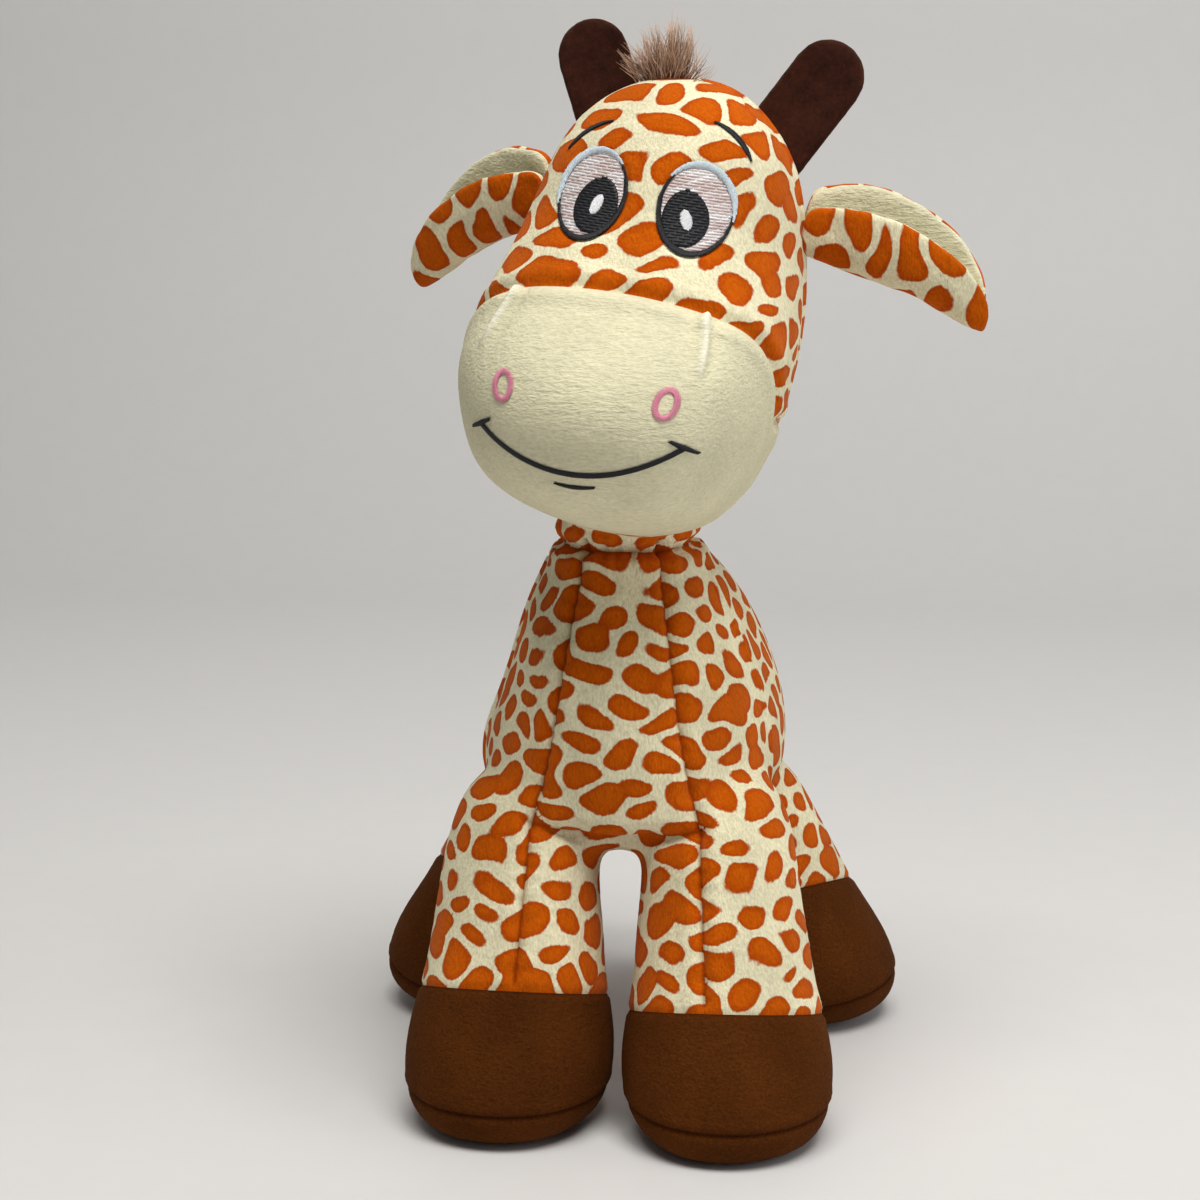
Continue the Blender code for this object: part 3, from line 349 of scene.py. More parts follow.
class Leg:
    """One leg: its frame at the hip, its drift, its length and the planes of its seams."""

    def __init__(self, name, foot, toe_out, tilt, side, bend_start, seam_z, seam_tilt):
        self.name = name
        self.side = side
        self.bend_start = bend_start
        self.seam_z = seam_z
        self.seam_tilt = seam_tilt
        hip = Vector(JOINTS[name + "_swing"]["pos_m"])
        end = Vector((side * foot[0], foot[1], 0.0)) + MIDLINE
        up = Vector((0.0, 0.0, 1.0)).lerp((hip - end).normalized(), tilt).normalized()
        heel = Vector((-side * math.sin(toe_out), math.cos(toe_out), 0.0))
        heel = (heel - up * heel.dot(up)).normalized()
        across = heel.cross(up)
        self.matrix = Matrix((across, heel, up)).transposed().to_4x4()
        self.matrix.translation = hip
        place = self.matrix.inverted() @ end
        self.drift = Vector((place.x, place.y, 0.0)) / -place.z
        self.length = hip.z
        lowest = min(vertex.co.z for vertex in self.form().data.vertices)
        slope = self.matrix.col[2].z - (self.matrix.to_3x3() @ self.drift).z
        self.length += (lowest + SOLE_FLAT_DEPTH) / slope

    def rings(self):
        """Rings from inside the hip down to the sole."""
        sleeve = self.length - HOOF_HEIGHT
        places = [(place * sleeve, width, reach) for place, width, reach in SLEEVE_RING_SHARES]
        for place, width, reach in HOOF_RING_SHARES:
            places.append((sleeve + place * HOOF_HEIGHT, width, reach))
        rings = []
        for down, width, reach in places:
            reaches = (reach * HOOF_FRONT_REACH, reach * HOOF_BACK_REACH, 0.0)
            ring = egg_ring(-down, *reaches, width * HOOF_HALF_WIDTH, LEG_SQUARENESS, 10)
            rings.append([point + self.drift * down for point in ring])
        return rings

    def form(self):
        """The rounded leg in place."""
        old = bpy.data.objects.get(self.name + "_form")
        if old is not None:
            bpy.data.objects.remove(old)
        return rounded(self.name + "_form", *loft(self.rings()), self.matrix)

    def local(self, points):
        """World points in the leg's own frame, with the drift taken out."""
        inverse = np.array(self.matrix.inverted())
        own = points @ inverse[:3, :3].T + inverse[:3, 3]
        drift = np.array(self.drift)
        own[:, :2] += own[:, 2:3] * drift[:2]
        return own


LEGS = []
for label, (side, front_foot, rear_foot, front_z, rear_z) in SIDES.items():
    front = (front_foot, FRONT_TOE_OUT, 0.0, side, 0.0140, front_z, FRONT_SEAM_TILT)
    rear = (rear_foot, REAR_TOE_OUT, REAR_TILT_SHARE, side, 0.0105, rear_z, REAR_SEAM_TILT)
    LEGS.append(Leg("front_%s_leg" % label, *front))
    LEGS.append(Leg("rear_%s_leg" % label, *rear))
leg_forms = [leg.form() for leg in LEGS]
print("leg lengths", [round(leg.length * 1000.0, 1) for leg in LEGS], "mm")

# %% [markdown]
# ## One continuous skin
#
# Separate forms that only touch would look like a jointed doll. Plush runs on from the flank into the leg, so
# the forms are joined and turned into one skin by a voxel remesh. The remesh leaves tiny steps, which
# a few rounds of averaging remove, and more rounds round off the creases at the hips.

# %% Join and remesh
VOXEL = 0.00115
SMOOTH_ROUNDS = 5
HIP_ROUNDS = 45
HIP_FULL = 0.026
HIP_NONE = 0.043
JAW_PRESS = 0.0042
FLANK_PRESS = 0.0030


def join_objects(pieces, name):
    """Join several mesh objects into one."""
    shape = bmesh.new()
    for piece in pieces:
        shape.from_mesh(piece.data)
        bpy.data.objects.remove(piece)
    mesh = bpy.data.meshes.new(name)
    shape.to_mesh(mesh)
    shape.free()
    return new_object(name, mesh)


def remeshed(piece, voxel):
    """Replace a piece's mesh by a voxel skin."""
    modifier = piece.modifiers.new("skin", "REMESH")
    modifier.mode = "VOXEL"
    modifier.voxel_size = voxel
    mesh = finished_mesh(piece, piece.name)
    piece.modifiers.clear()
    piece.data = mesh
    return piece


def coordinates(mesh):
    """Vertex places as an array."""
    values = np.zeros(len(mesh.vertices) * 3)
    mesh.vertices.foreach_get("co", values)
    return values.reshape(-1, 3)


def vertex_normals(mesh):
    """Vertex normals as an array."""
    values = np.zeros(len(mesh.vertices) * 3)
    mesh.vertex_normals.foreach_get("vector", values)
    return values.reshape(-1, 3)


def edge_ends(mesh):
    """Both ends of each edge as an array."""
    ends = np.zeros(len(mesh.edges) * 2, dtype=np.int64)
    mesh.edges.foreach_get("vertices", ends)
    return ends.reshape(-1, 2)


def averaged(points, ends, rounds, strength, hold=None):
    """Move each vertex towards the middle of its neighbours, more where strength is high."""
    count = np.bincount(ends.ravel(), minlength=len(points))[:, None]
    share = np.broadcast_to(np.asarray(strength, dtype=float).reshape(-1, 1), (len(points), 1))
    for _ in range(rounds):
        total = np.zeros_like(points)
        for axis in range(3):
            total[:, axis] += np.bincount(ends[:, 0], points[ends[:, 1], axis], len(points))
            total[:, axis] += np.bincount(ends[:, 1], points[ends[:, 0], axis], len(points))
        points = points + share * (total / np.maximum(count, 1) - points)
    return points


def smooth_step(values, low, high):
    """From 0 at low to 1 at high, with soft ends."""
    share = np.clip((values - low) / (high - low), 0.0, 1.0)
    return share * share * (3.0 - 2.0 * share)


def to_frame(points, matrix):
    """World points in another frame."""
    inverse = np.array(matrix.inverted())
    return points @ inverse[:3, :3].T + inverse[:3, 3]


def hand_shaped(places):
    """Two presses that make the filling uneven: a slimmer left jaw and a slimmer right flank."""
    own = to_frame(places, HEAD_POSE)
    jaw = smooth_step(own[:, 0], 0.016, 0.042) * (1.0 - smooth_step(own[:, 2], 0.042, 0.074))
    jaw *= smooth_step(own[:, 2], 0.002, 0.014)
    across = np.array(HEAD_POSE.to_3x3() @ Vector((1.0, 0.0, 0.0)))
    places = places - JAW_PRESS * jaw[:, None] * across
    own = places - np.array(MIDLINE)
    level = np.exp(-np.square((own[:, 2] - 0.121) / 0.020))
    flank = smooth_step(-own[:, 0], 0.010, 0.036) * level * (1.0 - smooth_step(own[:, 1], 0.030, 0.062))
    return places + FLANK_PRESS * flank[:, None] * np.array([1.0, 0.0, 0.0])


SKIN = remeshed(join_objects([torso_form, head_form, neck_form, *leg_forms], "skin"), VOXEL)
places = hand_shaped(coordinates(SKIN.data))
ends = edge_ends(SKIN.data)
places = averaged(places, ends, SMOOTH_ROUNDS, 0.5)
near_hip = np.zeros(len(places))
for leg in LEGS:
    hip = np.array(leg.matrix.translation)
    distance = np.linalg.norm(places - hip, axis=1)
    near_hip = np.maximum(near_hip, 1.0 - smooth_step(distance, HIP_FULL, HIP_NONE))
places = averaged(places, ends, HIP_ROUNDS, 0.5 * near_hip)
places[:, 2] = np.maximum(places[:, 2], 0.0)
SKIN.data.vertices.foreach_set("co", places.ravel())
SKIN.data.update()
print("skin", len(places), "vertices")

# %% [markdown]
# ## Seams as distances
#
# Every seam of the real toy is written as a function that gives each skin point its distance to that seam,
# negative on one side and positive on the other. The same function then cuts the skin along the seam,
# sinks a groove there and tells the print where to break off.

# %% Seam functions
MUZZLE_SEAM_SHARES = (
    (1.30, 0.784),
    (0.66, 0.549),
    (0.49, 0.469),
    (0.385, 0.390),
    (0.355, 0.330),
    (0.28, 0.312),
    (0.00, 0.300),
    (-0.14, 0.24),
    (-0.18, 0.12),
    (-0.18, -0.15),
)
GUSSET_LINE = ((0.030, 0.0272), (0.043, 0.0268), (0.088, 0.0235), (0.112, 0.0189), (0.134, 0.0154), (0.170, 0.0100))
BELLY_FOLD = ((-0.0275, 0.0905), (-0.0120, 0.0850), (0.0, 0.0834), (0.0140, 0.0848), (0.0265, 0.0892))
NECK_SEAM_Z = 0.1634
NECK_SPHERE = 0.0285
HEAD_SIDE_SEAM = 0.004
TORSO_CUT_Z = 0.1530


def softened_line(points, rounds=3):
    """Cut the corners of a line of points again and again."""
    line = [np.array(point, dtype=float) for point in points]
    for _ in range(rounds):
        finer = [line[0]]
        for low, high in zip(line, line[1:]):
            finer.append(low * 0.75 + high * 0.25)
            finer.append(low * 0.25 + high * 0.75)
        finer.append(line[-1])
        line = finer
    return np.array(line)


def distance_to_line(points, line):
    """Distance of flat points to a line of points, positive on its left."""
    best = np.full(len(points), 1e9)
    signed = np.zeros(len(points))
    for low, high in zip(line, line[1:]):
        run = high - low
        share = np.clip((points - low) @ run / (run @ run), 0.0, 1.0)
        away = points - low - share[:, None] * run
        distance = np.linalg.norm(away, axis=1)
        cross = run[0] * (points[:, 1] - low[1]) - run[1] * (points[:, 0] - low[0])
        closer = distance < best
        best = np.where(closer, distance, best)
        signed = np.where(closer, np.copysign(distance, cross), signed)
    return signed


MUZZLE_LINE = softened_line([(reach * MUZZLE_REACH, height * HEAD_HEIGHT) for reach, height in MUZZLE_SEAM_SHARES])


def muzzle_field(points):
    """Positive on the muzzle, negative on the rest of the head."""
    own = to_frame(points, HEAD_POSE)
    flat = np.stack([-own[:, 1], own[:, 2]], axis=1)
    field = distance_to_line(flat, MUZZLE_LINE)
    above_neck = np.linalg.norm(points - np.array(NECK), axis=1) > NECK_SPHERE * 0.9
    return np.where(above_neck & (points[:, 2] > NECK_SEAM_Z), field, np.nan)


def hoof_field(leg, height, tilt=0.0):
    """Positive above a seam of one leg, a plane whose front edge may be raised by a tilt."""

    def field(points):
        own = leg.local(points)
        radius = np.linalg.norm(own[:, :2], axis=1)
        own_half = (points[:, 0] - MIDLINE.x) * leg.side > 0.0
        mine = (radius < 0.043) & own_half & (own[:, 2] < -leg.bend_start * 0.5)
        over = own[:, 2] + leg.length - height
        value = math.cos(tilt) * over * (1.0 - math.tan(tilt) * leg.drift.y) + math.sin(tilt) * own[:, 1]
        return np.where(mine, value, np.nan)

    return field


def top_field(leg):
    """Positive above the seam over a hoof."""
    return hoof_field(leg, leg.seam_z, leg.seam_tilt)


def gusset_field(points):
    """Distance from the two front seams: negative between them."""
    own = points - np.array(MIDLINE)
    heights = [height for height, _ in GUSSET_LINE]
    widths = [width for _, width in GUSSET_LINE]
    field = np.abs(own[:, 0]) - np.interp(own[:, 2], heights, widths)
    front = (own[:, 1] < 0.012) & (own[:, 2] < NECK_SEAM_Z + 0.004)
    return np.where(front, field, np.nan)


def belly_field(points):
    """Positive above the fold where the belly hangs over the front legs."""
    own = points - np.array(MIDLINE)
    inside = (np.abs(own[:, 0]) < 0.0285) & (own[:, 1] < -0.010)
    value = own[:, 2] - np.interp(own[:, 0], *zip(*BELLY_FOLD))
    return np.where(inside, value, np.nan)


def head_side_field(points):
    """Positive behind the seam that runs over the ears."""
    own = to_frame(points, HEAD_POSE)
    return np.where(np.linalg.norm(own, axis=1) > NECK_SPHERE * 0.95, own[:, 1] - HEAD_SIDE_SEAM, np.nan)


def spine_field(points):
    """Positive on the left of the seam along the spine."""
    own = points - np.array(MIDLINE)
    behind = (own[:, 1] > 0.012) & (own[:, 2] < NECK_SEAM_Z) & (own[:, 2] > 0.055)
    return np.where(behind, own[:, 0], np.nan)


def neck_sphere_field(points):
    """Positive outside the ball round which the neck bends."""
    far = np.linalg.norm(points - np.array(NECK), axis=1) - NECK_SPHERE
    return np.where(points[:, 2] > NECK_SEAM_Z + 0.001, far, np.nan)


def level_field(height):
    """Positive above a level plane near the neck."""

    def field(points):
        near = np.linalg.norm((points - np.array(NECK))[:, :2], axis=1) < 0.045
        return np.where(near, points[:, 2] - height, np.nan)

    return field


print("muzzle seam has", len(MUZZLE_LINE), "points")

# %% [markdown]
# ## Cutting the skin along its seams
#
# Where a seam crosses a face, the face is split exactly there. A point that already lies next to the seam is
# moved onto it, so no slivers are left. After that each panel can be a piece of its own with a crisp edge.

# %% Cut along the seams
SNAP_SHARE = 0.22


def cut_along(shape, field):
    """Split every face that a seam crosses, so that the seam runs along edges."""
    shape.verts.index_update()
    points = np.array([vert.co[:] for vert in shape.verts])
    values = field(points)
    crossing = []
    for edge in shape.edges:
        low, high = values[edge.verts[0].index], values[edge.verts[1].index]
        if low * high < 0.0:
            crossing.append(edge)
    on_line = set()
    for edge in crossing:
        start, end = edge.verts
        low, high = values[start.index], values[end.index]
        if low * high >= 0.0:
            continue
        share = low / (low - high)
        if share < SNAP_SHARE or share > 1.0 - SNAP_SHARE:
            moved = start if share < SNAP_SHARE else end
            moved.co = start.co.lerp(end.co, share)
            values[moved.index] = 0.0
            on_line.add(moved)
    for edge in crossing:
        start, end = edge.verts
        low, high = values[start.index], values[end.index]
        if low * high < 0.0:
            _, vert = bmesh.utils.edge_split(edge, start, low / (low - high))
            on_line.add(vert)
    faces = {face for vert in on_line for face in vert.link_faces}
    for face in faces:
        marked = [vert for vert in face.verts if vert in on_line]
        if len(marked) == 2 and not any(edge.verts[0] in marked and edge.verts[1] in marked for edge in face.edges):
            bmesh.utils.face_split(face, marked[0], marked[1])
    return len(on_line)


CUTS = [("muzzle", muzzle_field), ("neck seam", level_field(NECK_SEAM_Z)), ("torso top", level_field(TORSO_CUT_Z))]
CUTS += [("neck sphere", neck_sphere_field), ("gusset", gusset_field), ("head side", head_side_field)]
CUTS += [("spine", spine_field), ("belly", belly_field)]
for leg in LEGS:
    CUTS.append((leg.name + " hoof", top_field(leg)))
    CUTS.append((leg.name + " sole", hoof_field(leg, SOLE_HEIGHT)))
    CUTS.append((leg.name + " bend", hoof_field(leg, leg.length - leg.bend_start)))

skin_shape = bmesh.new()
skin_shape.from_mesh(SKIN.data)
for label, field in CUTS:
    print("cut", label, cut_along(skin_shape, field), "points")
skin_shape.to_mesh(SKIN.data)
skin_shape.free()

# %% [markdown]
# ## Which panel each face belongs to
#
# A face belongs to the panel on whose side of every seam its middle lies.

# %% Panels
polygon_count = len(SKIN.data.polygons)
centres = np.zeros(polygon_count * 3)
SKIN.data.polygons.foreach_get("center", centres)
centres = centres.reshape(-1, 3)
own = centres - np.array(MIDLINE)
piece_of = np.full(polygon_count, "torso", dtype=object)
is_head = np.nan_to_num(neck_sphere_field(centres), nan=-1.0) > 0.0
is_head &= centres[:, 2] > NECK_SEAM_Z
piece_of[is_head] = "head"
piece_of[is_head & (np.nan_to_num(muzzle_field(centres), nan=-1.0) > 0.0)] = "muzzle"
near_neck = np.linalg.norm((centres - np.array(NECK))[:, :2], axis=1) < 0.045
low_neck = near_neck & ~is_head & (centres[:, 2] > TORSO_CUT_Z) & (centres[:, 2] < NECK_SEAM_Z)
piece_of[low_neck] = "neck_low"
piece_of[near_neck & ~is_head & (centres[:, 2] >= NECK_SEAM_Z)] = "neck_high"
for leg in LEGS:
    bend_field = hoof_field(leg, leg.length - leg.bend_start)
    fields = (("leg", bend_field), ("hoof", top_field(leg)), ("sole", hoof_field(leg, SOLE_HEIGHT)))
    for part_name, field in fields:
        value = np.nan_to_num(field(centres), nan=1.0)
        low_enough = leg.local(centres)[:, 2] < -leg.bend_start * 0.5
        piece_of[(value < 0.0) & low_enough] = leg.name + "_" + part_name

inside_gusset = np.nan_to_num(gusset_field(centres), nan=1.0) < 0.0
panel_of = np.where(own[:, 0] > 0.0, 1, 2)
panel_of[inside_gusset & (own[:, 1] < 0.0)] = 0
panel_of[(panel_of == 0) & (np.nan_to_num(belly_field(centres), nan=1.0) < 0.0)] = 6
behind_ears = np.nan_to_num(head_side_field(centres), nan=-1.0) > 0.0
panel_of[is_head] = 3
panel_of[is_head & behind_ears] = 4
panel_of[piece_of == "neck_high"] = 5
names, counts = np.unique(piece_of.astype(str), return_counts=True)
print(dict(zip(names.tolist(), counts.tolist())))

# %% [markdown]
# ## Grooves, ridges and the lumps of stuffing
#
# Thread pulls the cloth in along a seam and the filling swells on both sides of it. Each seam gets its own
# profile across: a groove, or at the side seams and the soles a raised fold. Soft noise adds the
# slight unevenness of a hand filled toy.

# %% Shape the seams
GROOVE_DEPTH = 0.0013
GROOVE_WIDTH = 0.0014
SWELL = 0.0005
SWELL_PLACE = 0.0042
SWELL_WIDTH = 0.0022
LUMP_SIZE = 0.024
LUMP_DEPTH = 0.0007
FUZZ_SIZE = 0.0018
FUZZ_DEPTH = 0.00007
BELLY_SWELL = 0.0010
BELLY_DEPTH = 0.0028
PUCKER_PITCH = 0.0052
PUCKER_DEPTH = 0.00050
# Half width of the painted shade line along the seams.
PAINTED_SHADE_REACH = 0.0011


def bell(values, width):
    """A soft bump over zero, and nothing where there is no value."""
    return np.where(np.isnan(values), 0.0, np.exp(-np.square(np.nan_to_num(values) / width)))


def along_surface(field, points, normals):
    """The distance along the surface to a seam that a field gives through space."""
    step = 0.0002
    value = field(points)
    slope = np.zeros_like(points)
    for axis in range(3):
        moved = points.copy()
        moved[:, axis] += step
        slope[:, axis] = (field(moved) - value) / step
    slope -= np.sum(slope * normals, axis=1)[:, None] * normals
    steep = np.maximum(np.linalg.norm(slope, axis=1), 0.3)
    return value / steep


def groove(distance, depth=GROOVE_DEPTH, width=GROOVE_WIDTH, swell=SWELL):
    """Depth of a pulled seam with a swelling on both sides."""
    sides = bell(np.abs(distance) - SWELL_PLACE, SWELL_WIDTH)
    return swell * sides - depth * bell(distance, width)


def ridge(distance, height=0.0007, width=0.0011):
    """A folded seam that stands up between two shallow dips."""
    dips = bell(np.abs(distance) - 0.0026, 0.0013)
    return height * bell(distance, width) - 0.4 * height * dips


def noise_values(points, size, seed):
    """Smooth noise from about -1 to 1 at each point."""
    shift = Vector((seed, seed * 0.7, -seed))
    return np.array([noise.noise(Vector(point) / size + shift) for point in points])


def puckers(distance, along, reach):
    """Small pulled folds that run across a seam and fade away from it."""
    wave = np.sin(2.0 * math.pi * along / PUCKER_PITCH + 1.9 * np.sin(along / 0.0061))
    return PUCKER_DEPTH * wave * bell(distance, reach)


def painted_shade_profile(distance):
    """1 on a seam and 0 a step beside it."""
    return np.clip(1.0 - np.abs(np.nan_to_num(distance, nan=1.0)) / PAINTED_SHADE_REACH, 0.0, 1.0)


def front_only(distance, normals):
    """Fade a seam out where the surface turns away from the front."""
    facing = smooth_step(-normals[:, 1], -0.35, 0.1)
    return np.where(facing > 0.0, distance, np.nan), facing


points = coordinates(SKIN.data)
normals = vertex_normals(SKIN.data)
offset = np.zeros(len(points))
offset += groove(along_surface(muzzle_field, points, normals), 0.0015, 0.0015, 0.0007)
neck_distance = along_surface(level_field(NECK_SEAM_Z), points, normals)
offset += groove(neck_distance, 0.0018, 0.0018, 0.0008)
round_neck = np.arctan2(points[:, 0] - NECK.x, NECK.y - points[:, 1]) * 0.021
offset += puckers(neck_distance, round_neck, 0.0065)
gusset_distance, facing = front_only(along_surface(gusset_field, points, normals), normals)
for leg in LEGS:
    facing *= smooth_step(np.nan_to_num(top_field(leg)(points), nan=1.0), 0.0004, 0.0030)
offset += (groove(gusset_distance, 0.0014, 0.0012) + 0.6 * puckers(gusset_distance, points[:, 2], 0.0045)) * facing
# Painted shade: the creases of the neck, chest, belly fold, hoof and sole seams get a value that darkens the plush
# colour.
PAINTED_SHADE_AND_HIGHLIGHT = np.maximum(painted_shade_profile(gusset_distance) * facing, painted_shade_profile(neck_distance))
fold = belly_field(points)
fold_fade = smooth_step(0.0285 - np.abs(points[:, 0] - MIDLINE.x), 0.0, 0.005)
overhang = BELLY_SWELL * bell(fold - 0.0052, 0.0036) - BELLY_DEPTH * bell(fold + 0.0007, 0.0019)
offset += overhang * fold_fade
PAINTED_SHADE_AND_HIGHLIGHT = np.maximum(PAINTED_SHADE_AND_HIGHLIGHT, 0.7 * painted_shade_profile(fold) * fold_fade)
offset += ridge(along_surface(head_side_field, points, normals))
offset += ridge(along_surface(spine_field, points, normals), 0.0005)
for leg in LEGS:
    offset += groove(along_surface(top_field(leg), points, normals), 0.0007, 0.0010, 0.0)
    own = leg.local(points)
    side_wall = smooth_step(np.linalg.norm(own[:, :2], axis=1), 0.019, 0.023)
    sole_distance = along_surface(hoof_field(leg, SOLE_HEIGHT), points, normals)
    offset += (groove(sole_distance, 0.0008, 0.0009, 0.0) + 0.0003 * bell(sole_distance - 0.0018, 0.0014)) * side_wall
    PAINTED_SHADE_AND_HIGHLIGHT = np.maximum(PAINTED_SHADE_AND_HIGHLIGHT, painted_shade_profile(sole_distance) * side_wall)
    PAINTED_SHADE_AND_HIGHLIGHT = np.maximum(PAINTED_SHADE_AND_HIGHLIGHT, 0.6 * painted_shade_profile(along_surface(top_field(leg), points, normals)))
offset += LUMP_DEPTH * noise_values(points, LUMP_SIZE, 3.0)
offset += FUZZ_DEPTH * noise_values(points, FUZZ_SIZE, 11.0)
points = points + normals * offset[:, None]
points[:, 2] = np.maximum(points[:, 2], 0.0)
SKIN.data.vertices.foreach_set("co", points.ravel())
SKIN.data.update()
print("deepest", round(float(offset.min()) * 1000.0, 2), "mm, highest", round(float(offset.max()) * 1000.0, 2), "mm")

# %% [markdown]
# ## Darts and the bed of the embroidery
#
# Two short darts shape the top of the muzzle, and their crests get a painted highlight. Embroidery is sewn
# through the cloth and presses the pile flat, so the eyes lie in shallow beds with the pile standing a little
# higher round them.

# %% Darts and beds
EYE_MIDDLE_X = -0.0006
EYE_X = 0.01425
EYE_HEIGHT = 0.0935
EYE_HALF_WIDTH = 0.0095
EYE_HALF_HEIGHT = 0.0117
EYE_LEANS = {1.0: math.radians(-15.0), -1.0: math.radians(11.0)}
DARTS = (
    ((-0.0262, 0.0760), (-0.0290, 0.0640), (-0.0340, 0.0510)),
    ((0.0208, 0.0750), (0.0252, 0.0640), (0.0263, 0.0520)),
)
BED_DEPTH = 0.0009


def eye_place(side):
    """Middle of one eye, across and up the face."""
    return EYE_MIDDLE_X + side * EYE_X, EYE_HEIGHT


def eye_share(flat, side):
    """How far out of an eye's middle each point is: 1 on its outline."""
    across, height = eye_place(side)
    lean = EYE_LEANS[side]
    x, z = flat[:, 0] - across, flat[:, 1] - height
    turned_x = x * math.cos(lean) - z * math.sin(lean)
    turned_z = x * math.sin(lean) + z * math.cos(lean)
    return np.hypot(turned_x / EYE_HALF_WIDTH, turned_z / EYE_HALF_HEIGHT)


normals = vertex_normals(SKIN.data)
own = to_frame(points, HEAD_POSE)
flat = own[:, [0, 2]]
front_face = (own[:, 1] < -0.015) & (own[:, 2] > 0.01)
offset = np.zeros(len(points))
on_muzzle = np.nan_to_num(muzzle_field(points), nan=-1.0) > 0.0006
for dart in DARTS:
    distance = distance_to_line(flat, softened_line(dart))
    fade = smooth_step(flat[:, 1], dart[-1][1] - 0.002, dart[-1][1] + 0.006)
    fade = np.where(front_face & on_muzzle, fade, 0.0)
    offset += fade * ridge(distance, 0.0015, 0.0010)
    # Painted highlight: values below zero mark the crests of the darts, which the plush shader pales.
    PAINTED_SHADE_AND_HIGHLIGHT = np.minimum(PAINTED_SHADE_AND_HIGHLIGHT, PAINTED_SHADE_AND_HIGHLIGHT - fade * bell(distance, 0.0008))
for side in (1.0, -1.0):
    share = eye_share(flat, side)
    offset -= np.where(front_face, BED_DEPTH * (1.0 - smooth_step(share, 0.98, 1.14)), 0.0)
points = points + normals * offset[:, None]
SKIN.data.vertices.foreach_set("co", points.ravel())
SKIN.data.update()
print("beds pressed", round(-float(offset.min()) * 1000.0, 2), "mm deep")

# %% [markdown]
# ## The giraffe print
#
# The cloth is cream with rounded orange patches, wider than they are tall. Patches like that grow from seeds:
# each seed claims the points that are clearly nearer to it than to any other, up to a greatest size. Every
# seed measures distance with a stretch of its own, which makes ovals, beans and soft triangles, and a few
# neighbours are merged. The panels have separate seeds, because a printed cloth is cut and sewn, so the
# pattern breaks off at each seam.

# %% Patches from seeds
PATCH_GAP_VARIATION = 0.00020
CORNER_ROUNDING = 0.00085
MERGED_SHARE = 0.09
WARP_SIZE = 0.0105
WARP_DEPTH = 0.0030
RAGGED_SIZE = 0.0034
RAGGED_DEPTH = 0.00014
SEED_STRETCH = 0.42
CHUNK = 4000


def scattered_seeds(points, pitch, dice):
    """Pick points at random that keep a distance from each other."""
    order = list(range(len(points)))
    dice.shuffle(order)
    order = order[: 90 * int(1 + len(points) * VOXEL * VOXEL / (pitch * pitch))]
    seeds = np.zeros((0, 3))
    for index in order:
        spacing = pitch * (0.82 + 0.32 * dice.random())
        if len(seeds) == 0 or np.min(np.sum(np.square(seeds - points[index]), axis=1)) > spacing * spacing:
            seeds = np.vstack([seeds, points[index]])
    return seeds


def seed_groups(seeds, dice):
    """Number the seeds, and give a few pairs of neighbours one number."""
    group = np.arange(len(seeds))
    paired = set()
    for index, seed in enumerate(seeds):
        if len(seeds) < 3 or index in paired or dice.random() > MERGED_SHARE:
            continue
        distance = np.linalg.norm(seeds - seed, axis=1)
        neighbour = int(np.argsort(distance)[1])
        if neighbour not in paired:
            group[neighbour] = group[index]
            paired.update((index, neighbour))
    return group


def patch_values(points, pitch, flatness, half_gap, dice):
    """How far each point lies inside a patch, negative in the cream gaps."""
    warp = np.stack([noise_values(points, WARP_SIZE, seed) for seed in (21.0, 37.0, 53.0)], axis=1)
    ragged = noise_values(points, RAGGED_SIZE, 71.0)
    squeeze = np.array([1.0, 1.0, flatness])
    warped = (points + WARP_DEPTH * warp) * squeeze
    seeds = scattered_seeds(warped, pitch, dice)
    group = seed_groups(seeds, dice)
    between = seeds[None, :, :] - seeds[:, None, :]
    reach = np.linalg.norm(between, axis=2) + np.eye(len(seeds))
    slopes = np.linalg.norm(between * squeeze, axis=2) / reach + np.eye(len(seeds))
    directions = np.array([[dice.gauss(0.0, 1.0) for _ in range(3)] for _ in seeds])
    directions /= np.linalg.norm(directions, axis=1)[:, None]
    stretches = np.array([SEED_STRETCH * dice.random() for _ in seeds])
    gaps = np.array([half_gap + PATCH_GAP_VARIATION * (2.0 * dice.random() - 1.0) for _ in seeds])
    limits = np.array([pitch * (0.72 + 0.26 * dice.random()) for _ in seeds])
    values = np.zeros(len(points))
    for start in range(0, len(points), CHUNK):
        away = warped[start:start + CHUNK, None, :] - seeds[None, :, :]
        along = np.sum(away * directions[None, :, :], axis=2)
        square = np.sum(np.square(away), axis=2)
        distance = np.sqrt(np.maximum(square - (1.0 - np.square(1.0 - stretches)) * np.square(along), 1e-12))
        own = np.argmin(distance, axis=1)
        nearest = distance[np.arange(len(own)), own]
        rivals = (distance - nearest[:, None]) / (2.0 * slopes[own])
        rivals[group[own][:, None] == group[None, :]] = 1.0
        total = np.sum(np.exp(-rivals / CORNER_ROUNDING), axis=1)
        outward = away[np.arange(len(own)), own]
        slope = np.linalg.norm(outward * squeeze, axis=1) / np.maximum(np.linalg.norm(outward, axis=1), 1e-6)
        total += np.exp(-(limits[own] - nearest) / np.maximum(slope, 1.0) / CORNER_ROUNDING)
        values[start:start + CHUNK] = -CORNER_ROUNDING * np.log(total) - gaps[own]
    return values + RAGGED_DEPTH * ragged


print("patch corners are rounded by about", round(1000.0 * CORNER_ROUNDING, 2), "mm")

# %% [markdown]
# ### The pieces of the skin
#
# Each piece is copied out of the skin with the shading normals of the whole, so that no line shows where two
# pieces of one cloth meet. The pattern value is stored on every corner of the mesh, so it may differ on the
# two sides of a seam.

